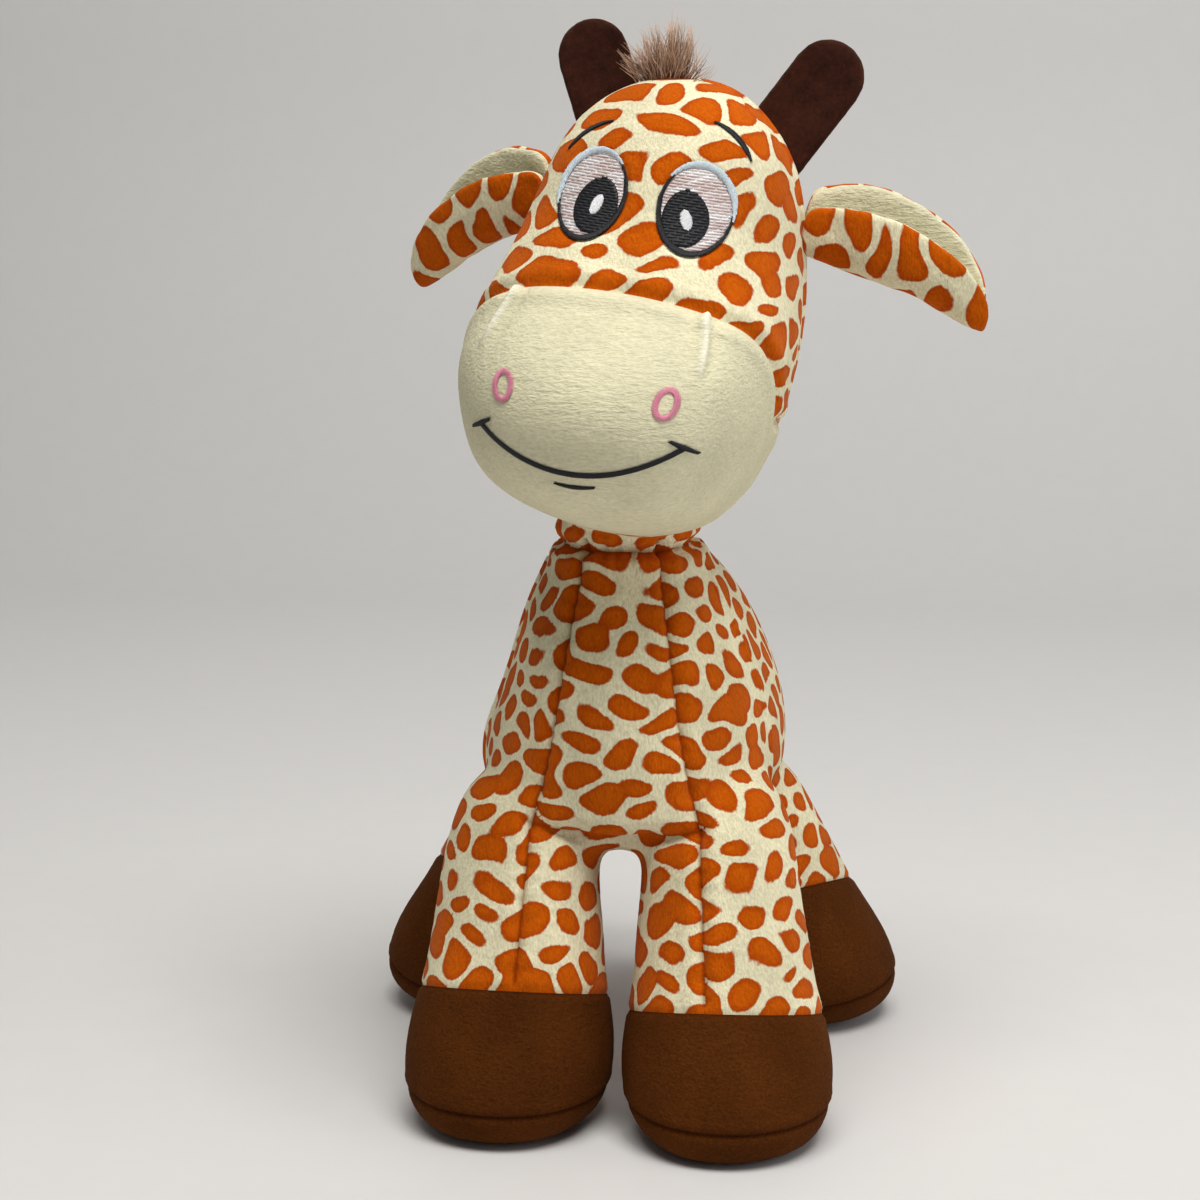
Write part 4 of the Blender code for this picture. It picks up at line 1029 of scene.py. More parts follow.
# %% Copy the pieces out of the skin
SPOTTED = {"torso", "head", "neck_low", "neck_high"} | {leg.name + "_leg" for leg in LEGS}
ALL_NORMALS = vertex_normals(SKIN.data)
ALL_POINTS = coordinates(SKIN.data)
CORNERS = [tuple(polygon.vertices) for polygon in SKIN.data.polygons]

# Pitch, flatness and half gap of the patches: chest, sides, halves of the head, neck, fronts of the legs
PANEL_PATCHES = {
    0: (0.0112, 1.45, 0.00074),
    1: (0.0106, 1.35, 0.00070),
    2: (0.0106, 1.35, 0.00070),
    3: (0.0136, 1.75, 0.00090),
    4: (0.0132, 1.40, 0.00086),
    5: (0.0104, 1.30, 0.00080),
    6: (0.0110, 1.25, 0.00074),
}


def panel_patterns():
    """Pattern values for each panel, on that panel's own points."""
    patterns = {}
    spotted_face = np.array([name in SPOTTED for name in piece_of])
    for panel in sorted(set(panel_of.tolist())):
        used = sorted({vert for face in np.nonzero((panel_of == panel) & spotted_face)[0] for vert in CORNERS[face]})
        if used:
            values = patch_values(ALL_POINTS[used], *PANEL_PATCHES[panel], random.Random(100 + panel))
            patterns[panel] = dict(zip(used, values.tolist()))
    return patterns


PATTERNS = panel_patterns()


def skin_piece(name):
    """One piece of the skin as an object, with its pattern, the painted shade and highlight values, and its shading
    normals.
    """
    faces = np.nonzero(piece_of == name)[0]
    used = sorted({vert for face in faces for vert in CORNERS[face]})
    place = {vert: number for number, vert in enumerate(used)}
    mesh = mesh_from(name, ALL_POINTS[used], [tuple(place[vert] for vert in CORNERS[face]) for face in faces])
    mesh.polygons.foreach_set("use_smooth", [True] * len(mesh.polygons))
    if name in SPOTTED:
        layer = mesh.attributes.new("patch", "FLOAT", "CORNER")
        values = []
        for face in faces:
            pattern = PATTERNS[int(panel_of[face])]
            values.extend(pattern[vert] for vert in CORNERS[face])
        layer.data.foreach_set("value", values)
    # Painted shade of the seam creases and painted highlight of the dart crests, read by the plush shader.
    mesh.attributes.new("crease", "FLOAT", "POINT").data.foreach_set("value", PAINTED_SHADE_AND_HIGHLIGHT[used])
    mesh.normals_split_custom_set_from_vertices([tuple(ALL_NORMALS[vert]) for vert in used])
    return new_object(name + "_skin", mesh)


SKIN_PIECES = {name: skin_piece(name) for name in names}
skin_tree = BVHTree.FromPolygons([Vector(point) for point in ALL_POINTS], CORNERS)
bpy.data.objects.remove(SKIN)
print("skin pieces", len(SKIN_PIECES))

# %% [markdown]
# ## Plush that catches the light
#
# Short pile is a velvet: soft, slightly brighter where it turns away, with fine fibres that lie down the body
# and brushed areas that look lighter or darker. The shader has three layers: the print, a slow
# change of shade where the pile was stroked, and a fibre bump stretched along the nap. On top of these it
# paints shade into the creases of the seams and a highlight onto the crests of the muzzle darts.

# %% Plush materials


def new_material(name):
    """An empty material with a Principled shader."""
    material = bpy.data.materials.new(name)
    material.use_nodes = True
    return material, material.node_tree.nodes, material.node_tree.links


def stretched_noise(nodes, links, scale, stretch, detail, roughness=0.6):
    """Noise that is drawn out along one axis of the object."""
    place = nodes.new("ShaderNodeTexCoord")
    mapping = nodes.new("ShaderNodeMapping")
    mapping.inputs["Scale"].default_value = stretch
    texture = nodes.new("ShaderNodeTexNoise")
    texture.inputs["Scale"].default_value = scale
    texture.inputs["Detail"].default_value = detail
    texture.inputs["Roughness"].default_value = roughness
    links.new(place.outputs["Object"], mapping.inputs["Vector"])
    links.new(mapping.outputs["Vector"], texture.inputs["Vector"])
    return texture.outputs["Fac"]


def ranged(nodes, links, value, low, high, new_low, new_high, smooth=False):
    """Map a value from one range to another."""
    node = nodes.new("ShaderNodeMapRange")
    node.interpolation_type = "SMOOTHSTEP" if smooth else "LINEAR"
    for socket, number in (("From Min", low), ("From Max", high), ("To Min", new_low), ("To Max", new_high)):
        node.inputs[socket].default_value = number
    links.new(value, node.inputs["Value"])
    return node.outputs["Result"]


def mixed(nodes, links, factor, first, second, kind="MIX"):
    """Mix two colours, each a value or a socket."""
    node = nodes.new("ShaderNodeMix")
    node.data_type = "RGBA"
    node.blend_type = kind
    for name, value in (("Factor", factor), ("A", first), ("B", second)):
        socket = [item for item in node.inputs if item.name == name and item.enabled][0]
        if hasattr(value, "links"):
            links.new(value, socket)
        elif name == "Factor":
            socket.default_value = value
        else:
            socket.default_value = (*value, 1.0)
    return [item for item in node.outputs if item.enabled][0]


def summed(nodes, links, first, second, operation="ADD"):
    """Add or multiply two values or sockets."""
    node = nodes.new("ShaderNodeMath")
    node.operation = operation
    for socket, value in zip(node.inputs, (first, second)):
        if hasattr(value, "links"):
            links.new(value, socket)
        else:
            socket.default_value = value
    return node.outputs["Value"]


CREAM = (0.85, 0.785, 0.535)
ORANGE = (0.58, 0.104, 0.0015)
ORANGE_DEEP = (0.47, 0.064, 0.001)
MUZZLE_CREAM = (0.76, 0.715, 0.495)
HOOF_BROWN = (0.090, 0.0250, 0.0040)
# Painted highlight colour for the crests of the muzzle darts.
DART_CREST_HIGHLIGHT = (0.93, 0.90, 0.76)
PILE_STRETCH = (1.0, 1.0, 0.42)


def plush_material(name, colour, printed=False, stretch=PILE_STRETCH, depth=0.00042, shade=0.20, sheen=0.05):
    """Short pile plush, plain or printed with patches, with painted shade in the creases of its seams and a painted
    highlight on the crests of the muzzle darts.
    """
    material, nodes, links = new_material(name)
    shader = nodes["Principled BSDF"]
    fibre = stretched_noise(nodes, links, 1500.0, stretch, 3.0)
    tuft = stretched_noise(nodes, links, 620.0, stretch, 3.0)
    brushed = stretched_noise(nodes, links, 42.0, (1.0, 1.0, 0.7), 2.0)
    base = colour
    if printed:
        patch = nodes.new("ShaderNodeAttribute")
        patch.attribute_name = "patch"
        ragged = ranged(nodes, links, tuft, 0.3, 0.7, -0.00018, 0.00018)
        edge = summed(nodes, links, patch.outputs["Fac"], ragged)
        inside = ranged(nodes, links, edge, -0.00018, 0.00022, 0.0, 1.0, True)
        heart = ranged(nodes, links, edge, 0.0, 0.0016, 0.0, 1.0, True)
        orange = mixed(nodes, links, heart, ORANGE_DEEP, ORANGE)
        base = mixed(nodes, links, inside, colour, orange)
    fine = ranged(nodes, links, fibre, 0.3, 0.7, 1.0 - shade, 1.0 + shade * 0.55)
    slow = ranged(nodes, links, brushed, 0.3, 0.7, 1.0 - shade * 0.75, 1.0 + shade * 0.45)
    tone = summed(nodes, links, fine, slow, "MULTIPLY")
    grey = nodes.new("ShaderNodeCombineColor")
    for socket in grey.inputs[:3]:
        links.new(tone, socket)
    tinted = mixed(nodes, links, 1.0, base, grey.outputs["Color"], "MULTIPLY")
    # Painted shade: the colour is darkened in the creases of the seams. Painted highlight: it is paled on the crests of
    # the muzzle darts.
    crease = nodes.new("ShaderNodeAttribute")
    crease.attribute_name = "crease"
    sunk = ranged(nodes, links, crease.outputs["Fac"], 0.15, 1.0, 0.0, 0.75)
    raised = ranged(nodes, links, crease.outputs["Fac"], -0.1, -1.0, 0.0, 0.85)
    dark = mixed(nodes, links, 1.0, tinted, (0.34, 0.20, 0.12), "MULTIPLY")
    shaded = mixed(nodes, links, sunk, tinted, dark)
    links.new(mixed(nodes, links, raised, shaded, DART_CREST_HIGHLIGHT), shader.inputs["Base Color"])
    height = summed(nodes, links, fibre, summed(nodes, links, tuft, 1.4, "MULTIPLY"))
    bump = nodes.new("ShaderNodeBump")
    bump.inputs["Distance"].default_value = depth
    bump.inputs["Strength"].default_value = 0.8
    links.new(height, bump.inputs["Height"])
    links.new(bump.outputs["Normal"], shader.inputs["Normal"])
    shader.inputs["Roughness"].default_value = 0.92
    shader.inputs["Specular IOR Level"].default_value = 0.04
    shader.inputs["Sheen Weight"].default_value = sheen
    shader.inputs["Sheen Roughness"].default_value = 0.45
    shader.inputs["Sheen Tint"].default_value = (*[math.sqrt(value) for value in colour], 1.0)
    return material


SPOTTED_PLUSH = plush_material("spotted_plush_cloth", CREAM, printed=True)
CREAM_PLUSH = plush_material("cream_plush_cloth", MUZZLE_CREAM, stretch=(0.36, 0.7, 1.0), depth=0.0005, shade=0.13)
HOOF_PLUSH = plush_material("hoof_plush_cloth", HOOF_BROWN, stretch=(0.75, 0.75, 1.0), depth=0.0006, shade=0.30)
print("plush materials", [material.name for material in (SPOTTED_PLUSH, CREAM_PLUSH, HOOF_PLUSH)])

# %% [markdown]
# ## Sewing the skin to the bodies
#
# The torso, head, muzzle and soles each ride on one body. The neck and the tops of the legs are cloth
# across a joint; they and the hooves keep their place and ride on no body.


def dressed(piece, material, nodes=()):
    """Give a piece its material and hide the solids that it stands for."""
    piece.data.materials.clear()
    piece.data.materials.append(material)
    if nodes:
        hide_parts(*nodes)
    return piece


dressed(SKIN_PIECES["torso"], SPOTTED_PLUSH, ("torso", "chest_gusset"))
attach(SKIN_PIECES["torso"], "torso")
dressed(SKIN_PIECES["head"], SPOTTED_PLUSH, ("head",))
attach(SKIN_PIECES["head"], "head")
dressed(SKIN_PIECES["muzzle"], CREAM_PLUSH, ("muzzle",))
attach(SKIN_PIECES["muzzle"], "head")
dressed(SKIN_PIECES["neck_low"], SPOTTED_PLUSH, ("neck",))
dressed(SKIN_PIECES["neck_high"], SPOTTED_PLUSH)
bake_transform(SKIN_PIECES["neck_low"])
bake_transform(SKIN_PIECES["neck_high"])
for leg in LEGS:
    hip = leg.matrix.translation
    piece = dressed(SKIN_PIECES[leg.name + "_leg"], SPOTTED_PLUSH, (leg.name + "_sleeve",))
    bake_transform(piece)
    piece = dressed(SKIN_PIECES[leg.name + "_hoof"], HOOF_PLUSH, (leg.name + "_hoof",))
    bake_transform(piece)
    piece = dressed(SKIN_PIECES[leg.name + "_sole"], HOOF_PLUSH, (leg.name + "_sole",))
    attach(piece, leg.name)
print("skin placed on", len(LEGS), "legs, torso, neck and head")

# %% [markdown]
# ## Ears folded like leaves
#
# Each ear is a leaf of spotted plush lined with plain cream plush, folded lengthwise and hung on the head's
# side seam. It opens upwards, its back edge stands higher than its front edge, and it droops to the tip.

# %% Ear shape
EAR_LENGTH = 0.0560
EAR_HALF_THICKNESS = 0.0068
EAR_DEPTH = 0.0215
EAR_DROOP = 0.0165
EAR_COVER = 0.0021

# Side, sweep to the back, fall of the tip and roll of the opening to the front
EAR_POSES = {
    "left": (1.0, math.radians(12.0), math.radians(1.5), math.radians(4.0)),
    "right": (-1.0, math.radians(23.0), math.radians(17.5), math.radians(14.0)),
}

# Length along the ear, half thickness and depth of the fold
EAR_LEAF_SHARES = (
    (0.00, 0.44, 0.72),
    (0.13, 0.60, 0.84),
    (0.25, 0.90, 1.00),
    (0.45, 1.00, 1.03),
    (0.66, 1.00, 0.94),
    (0.86, 0.90, 0.86),
    (1.00, 0.50, 0.40),
)

# Across and up the fold, from the front edge round the bottom to the taller back edge
EAR_FOLD_SHARES = ((-0.95, 0.88), (-1.00, 0.18), (0.00, 0.00), (1.00, 0.20), (1.10, 1.18))


def ear_matrix(label):
    """The ear's frame: +X out along the ear, +Z up."""
    side, sweep, fall, _ = EAR_POSES[label]
    facing = 0.0 if side > 0.0 else math.pi
    turn = Matrix.Rotation(facing + side * sweep, 4, "Z") @ Matrix.Rotation(fall, 4, "Y")
    root = Matrix.Translation(JOINTS[label + "_ear_flap"]["pos_m"])
    return root @ HEAD_POSE.to_3x3().to_4x4() @ turn


def ear_sheet(label):
    """The folded leaf as a coarse sheet."""
    side, _, _, roll = EAR_POSES[label]
    turn = Matrix.Rotation(side * roll, 3, "X")
    points, faces = [], []
    for place, thickness, depth in EAR_LEAF_SHARES:
        lowest = -EAR_DEPTH * depth / 2.0 - EAR_DROOP * place ** 3.0
        for across, up in EAR_FOLD_SHARES:
            sideways = side * across * thickness * EAR_HALF_THICKNESS
            points.append(turn @ Vector((place * EAR_LENGTH, sideways, lowest + up * depth * EAR_DEPTH)))
    across_count = len(EAR_FOLD_SHARES)
    for row in range(len(EAR_LEAF_SHARES) - 1):
        for step in range(across_count - 1):
            low, high = row * across_count + step, (row + 1) * across_count + step
            faces.append((low, low + 1, high + 1, high))
    return points, faces


def ear_layer(name, label, thickness, offset, levels=3):
    """One layer of the ear with its own thickness, moved off the middle of the cloth."""
    points, faces = ear_sheet(label)
    mesh = mesh_from(name, points, faces)
    mesh.transform(ear_matrix(label))
    piece = new_object(name, mesh)
    modifier = piece.modifiers.new("round", "SUBSURF")
    modifier.levels = levels
    modifier.render_levels = levels
    modifier = piece.modifiers.new("cloth", "SOLIDIFY")
    modifier.thickness = thickness
    modifier.offset = 2.0 * offset / thickness
    piece.data = finished_mesh(piece, name)
    piece.modifiers.clear()
    return piece


def soften_rim(piece, rounds, strength=0.5):
    """Round off the hard edges of a thickened sheet."""
    smoothed = averaged(coordinates(piece.data), edge_ends(piece.data), rounds, strength)
    piece.data.vertices.foreach_set("co", smoothed.ravel())
    piece.data.polygons.foreach_set("use_smooth", [True] * len(piece.data.polygons))
    piece.data.update()
    return piece


def roughened(piece, size, depth, seed):
    """Push the surface in and out by smooth noise."""
    places = coordinates(piece.data)
    moved = places + vertex_normals(piece.data) * (depth * noise_values(places, size, seed))[:, None]
    piece.data.vertices.foreach_set("co", moved.ravel())
    piece.data.update()
    return piece


def add_patches(piece, pitch, flatness, half_gap, seed):
    """Store the print's pattern on a piece."""
    values = patch_values(coordinates(piece.data), pitch, flatness, half_gap, random.Random(seed))
    piece.data.attributes.new("patch", "FLOAT", "POINT").data.foreach_set("value", values)
    return piece


print("ear leaf", len(ear_sheet("left")[1]), "coarse faces")


def build_ear(label):
    """Cover and lining of one ear."""
    body = label + "_ear"
    cover = ear_layer(body + "_cover", label, EAR_COVER, 0.0)
    cover = roughened(soften_rim(subdivided(cover), 4), 0.006, 0.0004, 5.0)
    add_patches(cover, 0.0098, 0.62, 0.00085, 300 if label == "left" else 301)
    lining = ear_layer(body + "_lining_cloth", label, EAR_COVER, -EAR_POSES[label][0] * EAR_COVER * 0.75)
    lining = roughened(soften_rim(subdivided(lining), 6), 0.006, 0.0004, 7.0)
    for piece, material, slot, node in (
        (cover, SPOTTED_PLUSH, "spotted_plush", body),
        (lining, CREAM_PLUSH, "cream_plush", body + "_lining"),
    ):
        dressed(piece, material, (node,))
        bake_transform(piece)
    return cover, lining


def subdivided(piece, levels=1):
    """Split every face in four without changing the shape much."""
    modifier = piece.modifiers.new("finer", "SUBSURF")
    modifier.levels = levels
    modifier.render_levels = levels
    piece.data = finished_mesh(piece, piece.name)
    piece.modifiers.clear()
    return piece


EARS = {label: build_ear(label) for label in ("left", "right")}
print("ear cover", len(EARS["left"][0].data.vertices), "vertices")

# %% [markdown]
# ## Horns of stiff felt
#
# The horns are flat paddles of dark brown felt with round ends. Felt has no weave: it shows a mottled
# surface of short tangled fibres and a crisp cut edge. A thin plate that gets thinner at its rim reads right.

# %% Horns
HORN_WIDTH = 0.0207
FELT_THICKNESS = 0.0024

# Lean, length and a small shift across the head
HORNS = {"left": (math.radians(30.0), 0.0325, -0.0017), "right": (math.radians(-25.5), 0.0235, -0.0006)}
HORN_ROWS = 44
HORN_COLUMNS = 30
HORN_SINK = 0.0030


def felt_material():
    """Dark brown felt."""
    material, nodes, links = new_material("horn_felt_cloth")
    shader = nodes["Principled BSDF"]
    tangle = stretched_noise(nodes, links, 900.0, (1.0, 1.0, 1.0), 6.0, 0.75)
    mottle = stretched_noise(nodes, links, 180.0, (1.0, 1.0, 1.0), 3.0)
    tone = ranged(nodes, links, summed(nodes, links, tangle, mottle), 0.7, 1.3, 0.0, 1.0)
    links.new(mixed(nodes, links, tone, (0.021, 0.0055, 0.0026), (0.060, 0.0175, 0.0085)), shader.inputs["Base Color"])
    bump = nodes.new("ShaderNodeBump")
    bump.inputs["Distance"].default_value = 0.0003
    bump.inputs["Strength"].default_value = 0.7
    links.new(tangle, bump.inputs["Height"])
    links.new(bump.outputs["Normal"], shader.inputs["Normal"])
    shader.inputs["Roughness"].default_value = 0.95
    shader.inputs["Specular IOR Level"].default_value = 0.10
    shader.inputs["Sheen Weight"].default_value = 0.05
    shader.inputs["Sheen Roughness"].default_value = 0.5
    return material


HORN_FELT = felt_material()


def build_horn(label):
    """One paddle, from a sunk root line to its round end."""
    lean, length, shift = HORNS[label]
    joint = JOINTS[label + "_horn_bend"]
    frame_3 = HEAD_POSE.to_3x3()
    axis = frame_3 @ Vector((math.sin(lean), 0.0, math.cos(lean)))
    right = frame_3 @ Vector((math.cos(lean), 0.0, -math.sin(lean)))
    out = frame_3 @ Vector((0.0, 1.0, 0.0))
    root_line = Vector(joint["axis"]).normalized()
    if root_line.dot(right) < 0.0:
        root_line = -root_line
    root = Vector(joint["pos_m"]) + frame_3 @ Vector((shift, 0.0, 0.0))
    half = HORN_WIDTH / 2.0
    root_half = half / root_line.dot(right)
    points, faces = [], []
    for side in (1.0, -1.0):
        for row in range(HORN_ROWS + 1):
            for column in range(HORN_COLUMNS + 1):
                across = 2.0 * column / HORN_COLUMNS - 1.0
                up = row / HORN_ROWS
                tip = length - half + half * math.sqrt(max(0.0, 1.0 - across * across))
                start = root + root_line * root_half * across - axis * HORN_SINK
                end = root + right * half * across + axis * tip
                rim = max(abs(across), up)
                thick = 0.5 * FELT_THICKNESS * math.sqrt(max(0.0, 1.0 - rim ** 14.0))
                curl = 0.0012 * math.sin(math.pi * up) * (1.0 - across * across)
                points.append(start.lerp(end, up) + out * (side * thick + curl))
    row_length = HORN_COLUMNS + 1
    sheet = (HORN_ROWS + 1) * row_length
    for side_start, flip in ((0, False), (sheet, True)):
        for row in range(HORN_ROWS):
            for column in range(HORN_COLUMNS):
                corner = side_start + row * row_length + column
                face = (corner, corner + 1, corner + row_length + 1, corner + row_length)
                faces.append(face[::-1] if flip else face)
    shape = bmesh.new()
    mesh = mesh_from(label + "_horn_felt", points, faces)
    shape.from_mesh(mesh)
    bmesh.ops.remove_doubles(shape, verts=shape.verts, dist=0.00002)
    bmesh.ops.holes_fill(shape, edges=[edge for edge in shape.edges if edge.is_boundary])
    bmesh.ops.recalc_face_normals(shape, faces=shape.faces)
    shape.to_mesh(mesh)
    shape.free()
    piece = new_object(label + "_horn_felt", mesh)
    piece.data.polygons.foreach_set("use_smooth", [True] * len(piece.data.polygons))
    roughened(piece, 0.0016, 0.00010, 9.0)
    dressed(piece, HORN_FELT, (label + "_horn",))
    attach(piece, label + "_horn")
    return piece


HORN_PIECES = [build_horn(label) for label in ("left", "right")]
print("horns", [piece.name for piece in HORN_PIECES])

# %% [markdown]
# ## Long pile for the forelock and the tail tuft
#
# Long pile is a bundle of single strands that clump at their tips. Each strand here is a thin tapered tube
# with a little bend of its own, so it casts real shadows and survives export as plain mesh.

# %% Strands
STRAND_SIDES = 4
STRAND_STEPS = 7
PAD_RINGS = 8
PAD_COLUMNS = 56


class Threads:
    """Collects many thin tubes into one mesh."""

    def __init__(self):
        self.points = []
        self.faces = []
        self.shares = []

    def tube(self, line, radii, sides, flatten=None):
        """Add one tube along a line of points, closed at both ends."""
        first = len(self.points)
        along = (line[-1] - line[0]).normalized()
        up = flatten.copy() if flatten is not None else along.orthogonal()
        side = along.cross(up).normalized()
        up = side.cross(along).normalized()
        for number, (place, radius) in enumerate(zip(line, radii)):
            wide, tall = (radius, radius) if flatten is None else (radius, radius * 0.72)
            self.shares.extend([number / (len(line) - 1)] * sides)
            for step in range(sides):
                angle = 2.0 * math.pi * step / sides
                self.points.append(place + side * math.cos(angle) * wide + up * math.sin(angle) * tall)
        for row in range(len(line) - 1):
            for step in range(sides):
                following = (step + 1) % sides
                low, high = first + row * sides, first + (row + 1) * sides
                self.faces.append((low + step, low + following, high + following, high + step))
        last = first + (len(line) - 1) * sides
        self.faces.append(tuple(range(first, first + sides))[::-1])
        self.faces.append(tuple(range(last, last + sides)))

    def pad(self, centre, half_width, half_height, lean, low, high, egg=0.0):
        """Add a thin closed cushion under a field of stitches, an ellipse that follows the face."""
        sheets = []
        for layer in (high, low):
            sheets.append(len(self.points))
            self.points.append(on_face(*centre, layer)[0])
            for ring in range(1, PAD_RINGS + 1):
                size = (half_width * ring / PAD_RINGS, half_height * ring / PAD_RINGS)
                for place in ellipse_line(centre, *size, lean, count=PAD_COLUMNS, egg=egg)[:-1]:
                    self.points.append(on_face(*place, layer)[0])
        for first, flip in zip(sheets, (False, True)):
            for step in range(PAD_COLUMNS):
                following = (step + 1) % PAD_COLUMNS
                faces = [(first, first + 1 + step, first + 1 + following)]
                for ring in range(PAD_RINGS - 1):
                    near, far = first + 1 + ring * PAD_COLUMNS, first + 1 + (ring + 1) * PAD_COLUMNS
                    faces.append((near + step, far + step, far + following, near + following))
                self.faces.extend(face[::-1] if flip else face for face in faces)
        rims = [first + 1 + (PAD_RINGS - 1) * PAD_COLUMNS for first in sheets]
        for step in range(PAD_COLUMNS):
            following = (step + 1) % PAD_COLUMNS
            self.faces.append((rims[0] + step, rims[1] + step, rims[1] + following, rims[0] + following))
        self.shares.extend([0.0] * (len(self.points) - len(self.shares)))

    def build(self, name, material, slot):
        """Make the object."""
        piece = new_object(name, mesh_from(name, self.points, self.faces))
        piece.data.attributes.new("along", "FLOAT", "POINT").data.foreach_set("value", self.shares)
        piece.data.polygons.foreach_set("use_smooth", [True] * len(piece.data.polygons))
        piece.data.materials.append(material)
        return piece


def pile_material():
    """Brown long pile, darker at its roots and pale at its tips."""
    material, nodes, links = new_material("long_pile_strands")
    shader = nodes["Principled BSDF"]
    streak = stretched_noise(nodes, links, 500.0, (1.0, 1.0, 0.2), 2.0)
    place = nodes.new("ShaderNodeAttribute")
    place.attribute_name = "along"
    uneven = ranged(nodes, links, streak, 0.3, 0.7, -0.25, 0.25)
    tone = ranged(nodes, links, summed(nodes, links, place.outputs["Fac"], uneven), 0.05, 0.95, 0.0, 1.0)
    links.new(mixed(nodes, links, tone, (0.20, 0.090, 0.045), (0.58, 0.37, 0.24)), shader.inputs["Base Color"])
    shader.inputs["Roughness"].default_value = 0.6
    shader.inputs["Specular IOR Level"].default_value = 0.3
    shader.inputs["Sheen Weight"].default_value = 0.3
    return material


LONG_PILE = pile_material()


def head_point(x, y, z):
    """A point in the head's own frame, in the world."""
    return HEAD_POSE @ Vector((x, y, z))


def crown_point(x, y):
    """The skin right under a place on the crown."""
    down = HEAD_POSE.to_3x3() @ Vector((0.0, 0.0, -1.0))
    hit, normal, _, _ = skin_tree.ray_cast(head_point(x, y, HEAD_HEIGHT + 0.03), down)
    return hit, normal


# Across the tuft, sideways lean, forward lean in degrees, length and number of strands
CLUMPS = (
    (-0.0060, -72.0, 6.0, 0.0100, 26),
    (-0.0052, -62.0, -8.0, 0.0125, 32),
    (-0.0040, -48.0, 12.0, 0.0130, 34),
    (-0.0030, -34.0, -6.0, 0.0145, 40),
    (-0.0018, -20.0, 12.0, 0.0152, 46),
    (-0.0006, -10.0, -8.0, 0.0160, 52),
    (0.0004, -2.0, 8.0, 0.0162, 54),
    (0.0014, 5.0, -8.0, 0.0148, 46),
    (0.0024, 12.0, 4.0, 0.0118, 32),
    (0.0036, 30.0, 0.0, 0.0088, 16),
    (0.0050, 55.0, 4.0, 0.0082, 10),
    (0.0000, -8.0, 34.0, 0.0110, 28),
    (-0.0030, -32.0, 30.0, 0.0105, 24),
    (-0.0016, -20.0, -32.0, 0.0130, 28),
)
FORELOCK_X = -0.0045
FORELOCK_Y = -0.002


def build_forelock():
    """The tuft between the horns."""
    threads = Threads()
    dice = random.Random(7)
    for across, sideways, forward, length, count in CLUMPS:
        tip_direction = Matrix.Rotation(math.radians(sideways), 3, "Y") @ (
            Matrix.Rotation(math.radians(forward), 3, "X") @ Vector((0.0, 0.0, 1.0))
        )
        root, _ = crown_point(FORELOCK_X + across, FORELOCK_Y)
        tip = root + HEAD_POSE.to_3x3() @ tip_direction * length
        for _ in range(count):
            start_x = FORELOCK_X + across + dice.gauss(0.0, 0.0013)
            start, _ = crown_point(start_x, FORELOCK_Y + dice.gauss(0.0, 0.0022))
            end = tip + Vector([dice.gauss(0.0, 0.0010) for _ in range(3)])
            end = start.lerp(end, 0.70 + 0.32 * dice.random())
            bow = Vector([dice.gauss(0.0, 0.0007) for _ in range(3)])
            start = start - HEAD_POSE.to_3x3() @ Vector((0.0, 0.0, 0.0008))
            line, radii = [], []
            for step in range(STRAND_STEPS):
                share = step / (STRAND_STEPS - 1)
                line.append(start.lerp(end, share) + bow * math.sin(math.pi * share))
                radii.append(0.00013 * (1.0 - 0.75 * share ** 2.0))
            threads.tube(line, radii, STRAND_SIDES)
    piece = threads.build("forelock_strands", LONG_PILE, "long_pile")
    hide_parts("forelock")
    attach(piece, "head")
    return piece


FORELOCK = build_forelock()
print("forelock", len(FORELOCK.data.polygons), "faces")

# %% [markdown]
# ## The tail, out of sight
#
# The photograph doesn't show the back. Such a toy has a short sewn tail with a tuft of the forelock's pile, so
# it gets one: a soft tube of the printed plush.

# %% Tail
TAIL_LENGTH = 0.060
TAIL_HALF_WIDTH = 0.0075
TAIL_HALF_THICKNESS = 0.0062
TAIL_LIFT = math.radians(42.0)
TAIL_TUFT_SHARE = 0.62
TAIL_RING_SHARES = ((-0.06, 0.40, 0.40), (0.00, 0.60, 0.52), (0.30, 0.68, 0.56), (0.56, 0.68, 0.60), (0.66, 0.30, 0.30))


def tail_matrix():
    """The tail's frame: it hangs along -Z."""
    return Matrix.Translation(JOINTS["tail_swing"]["pos_m"]) @ Matrix.Rotation(TAIL_LIFT, 4, "X")


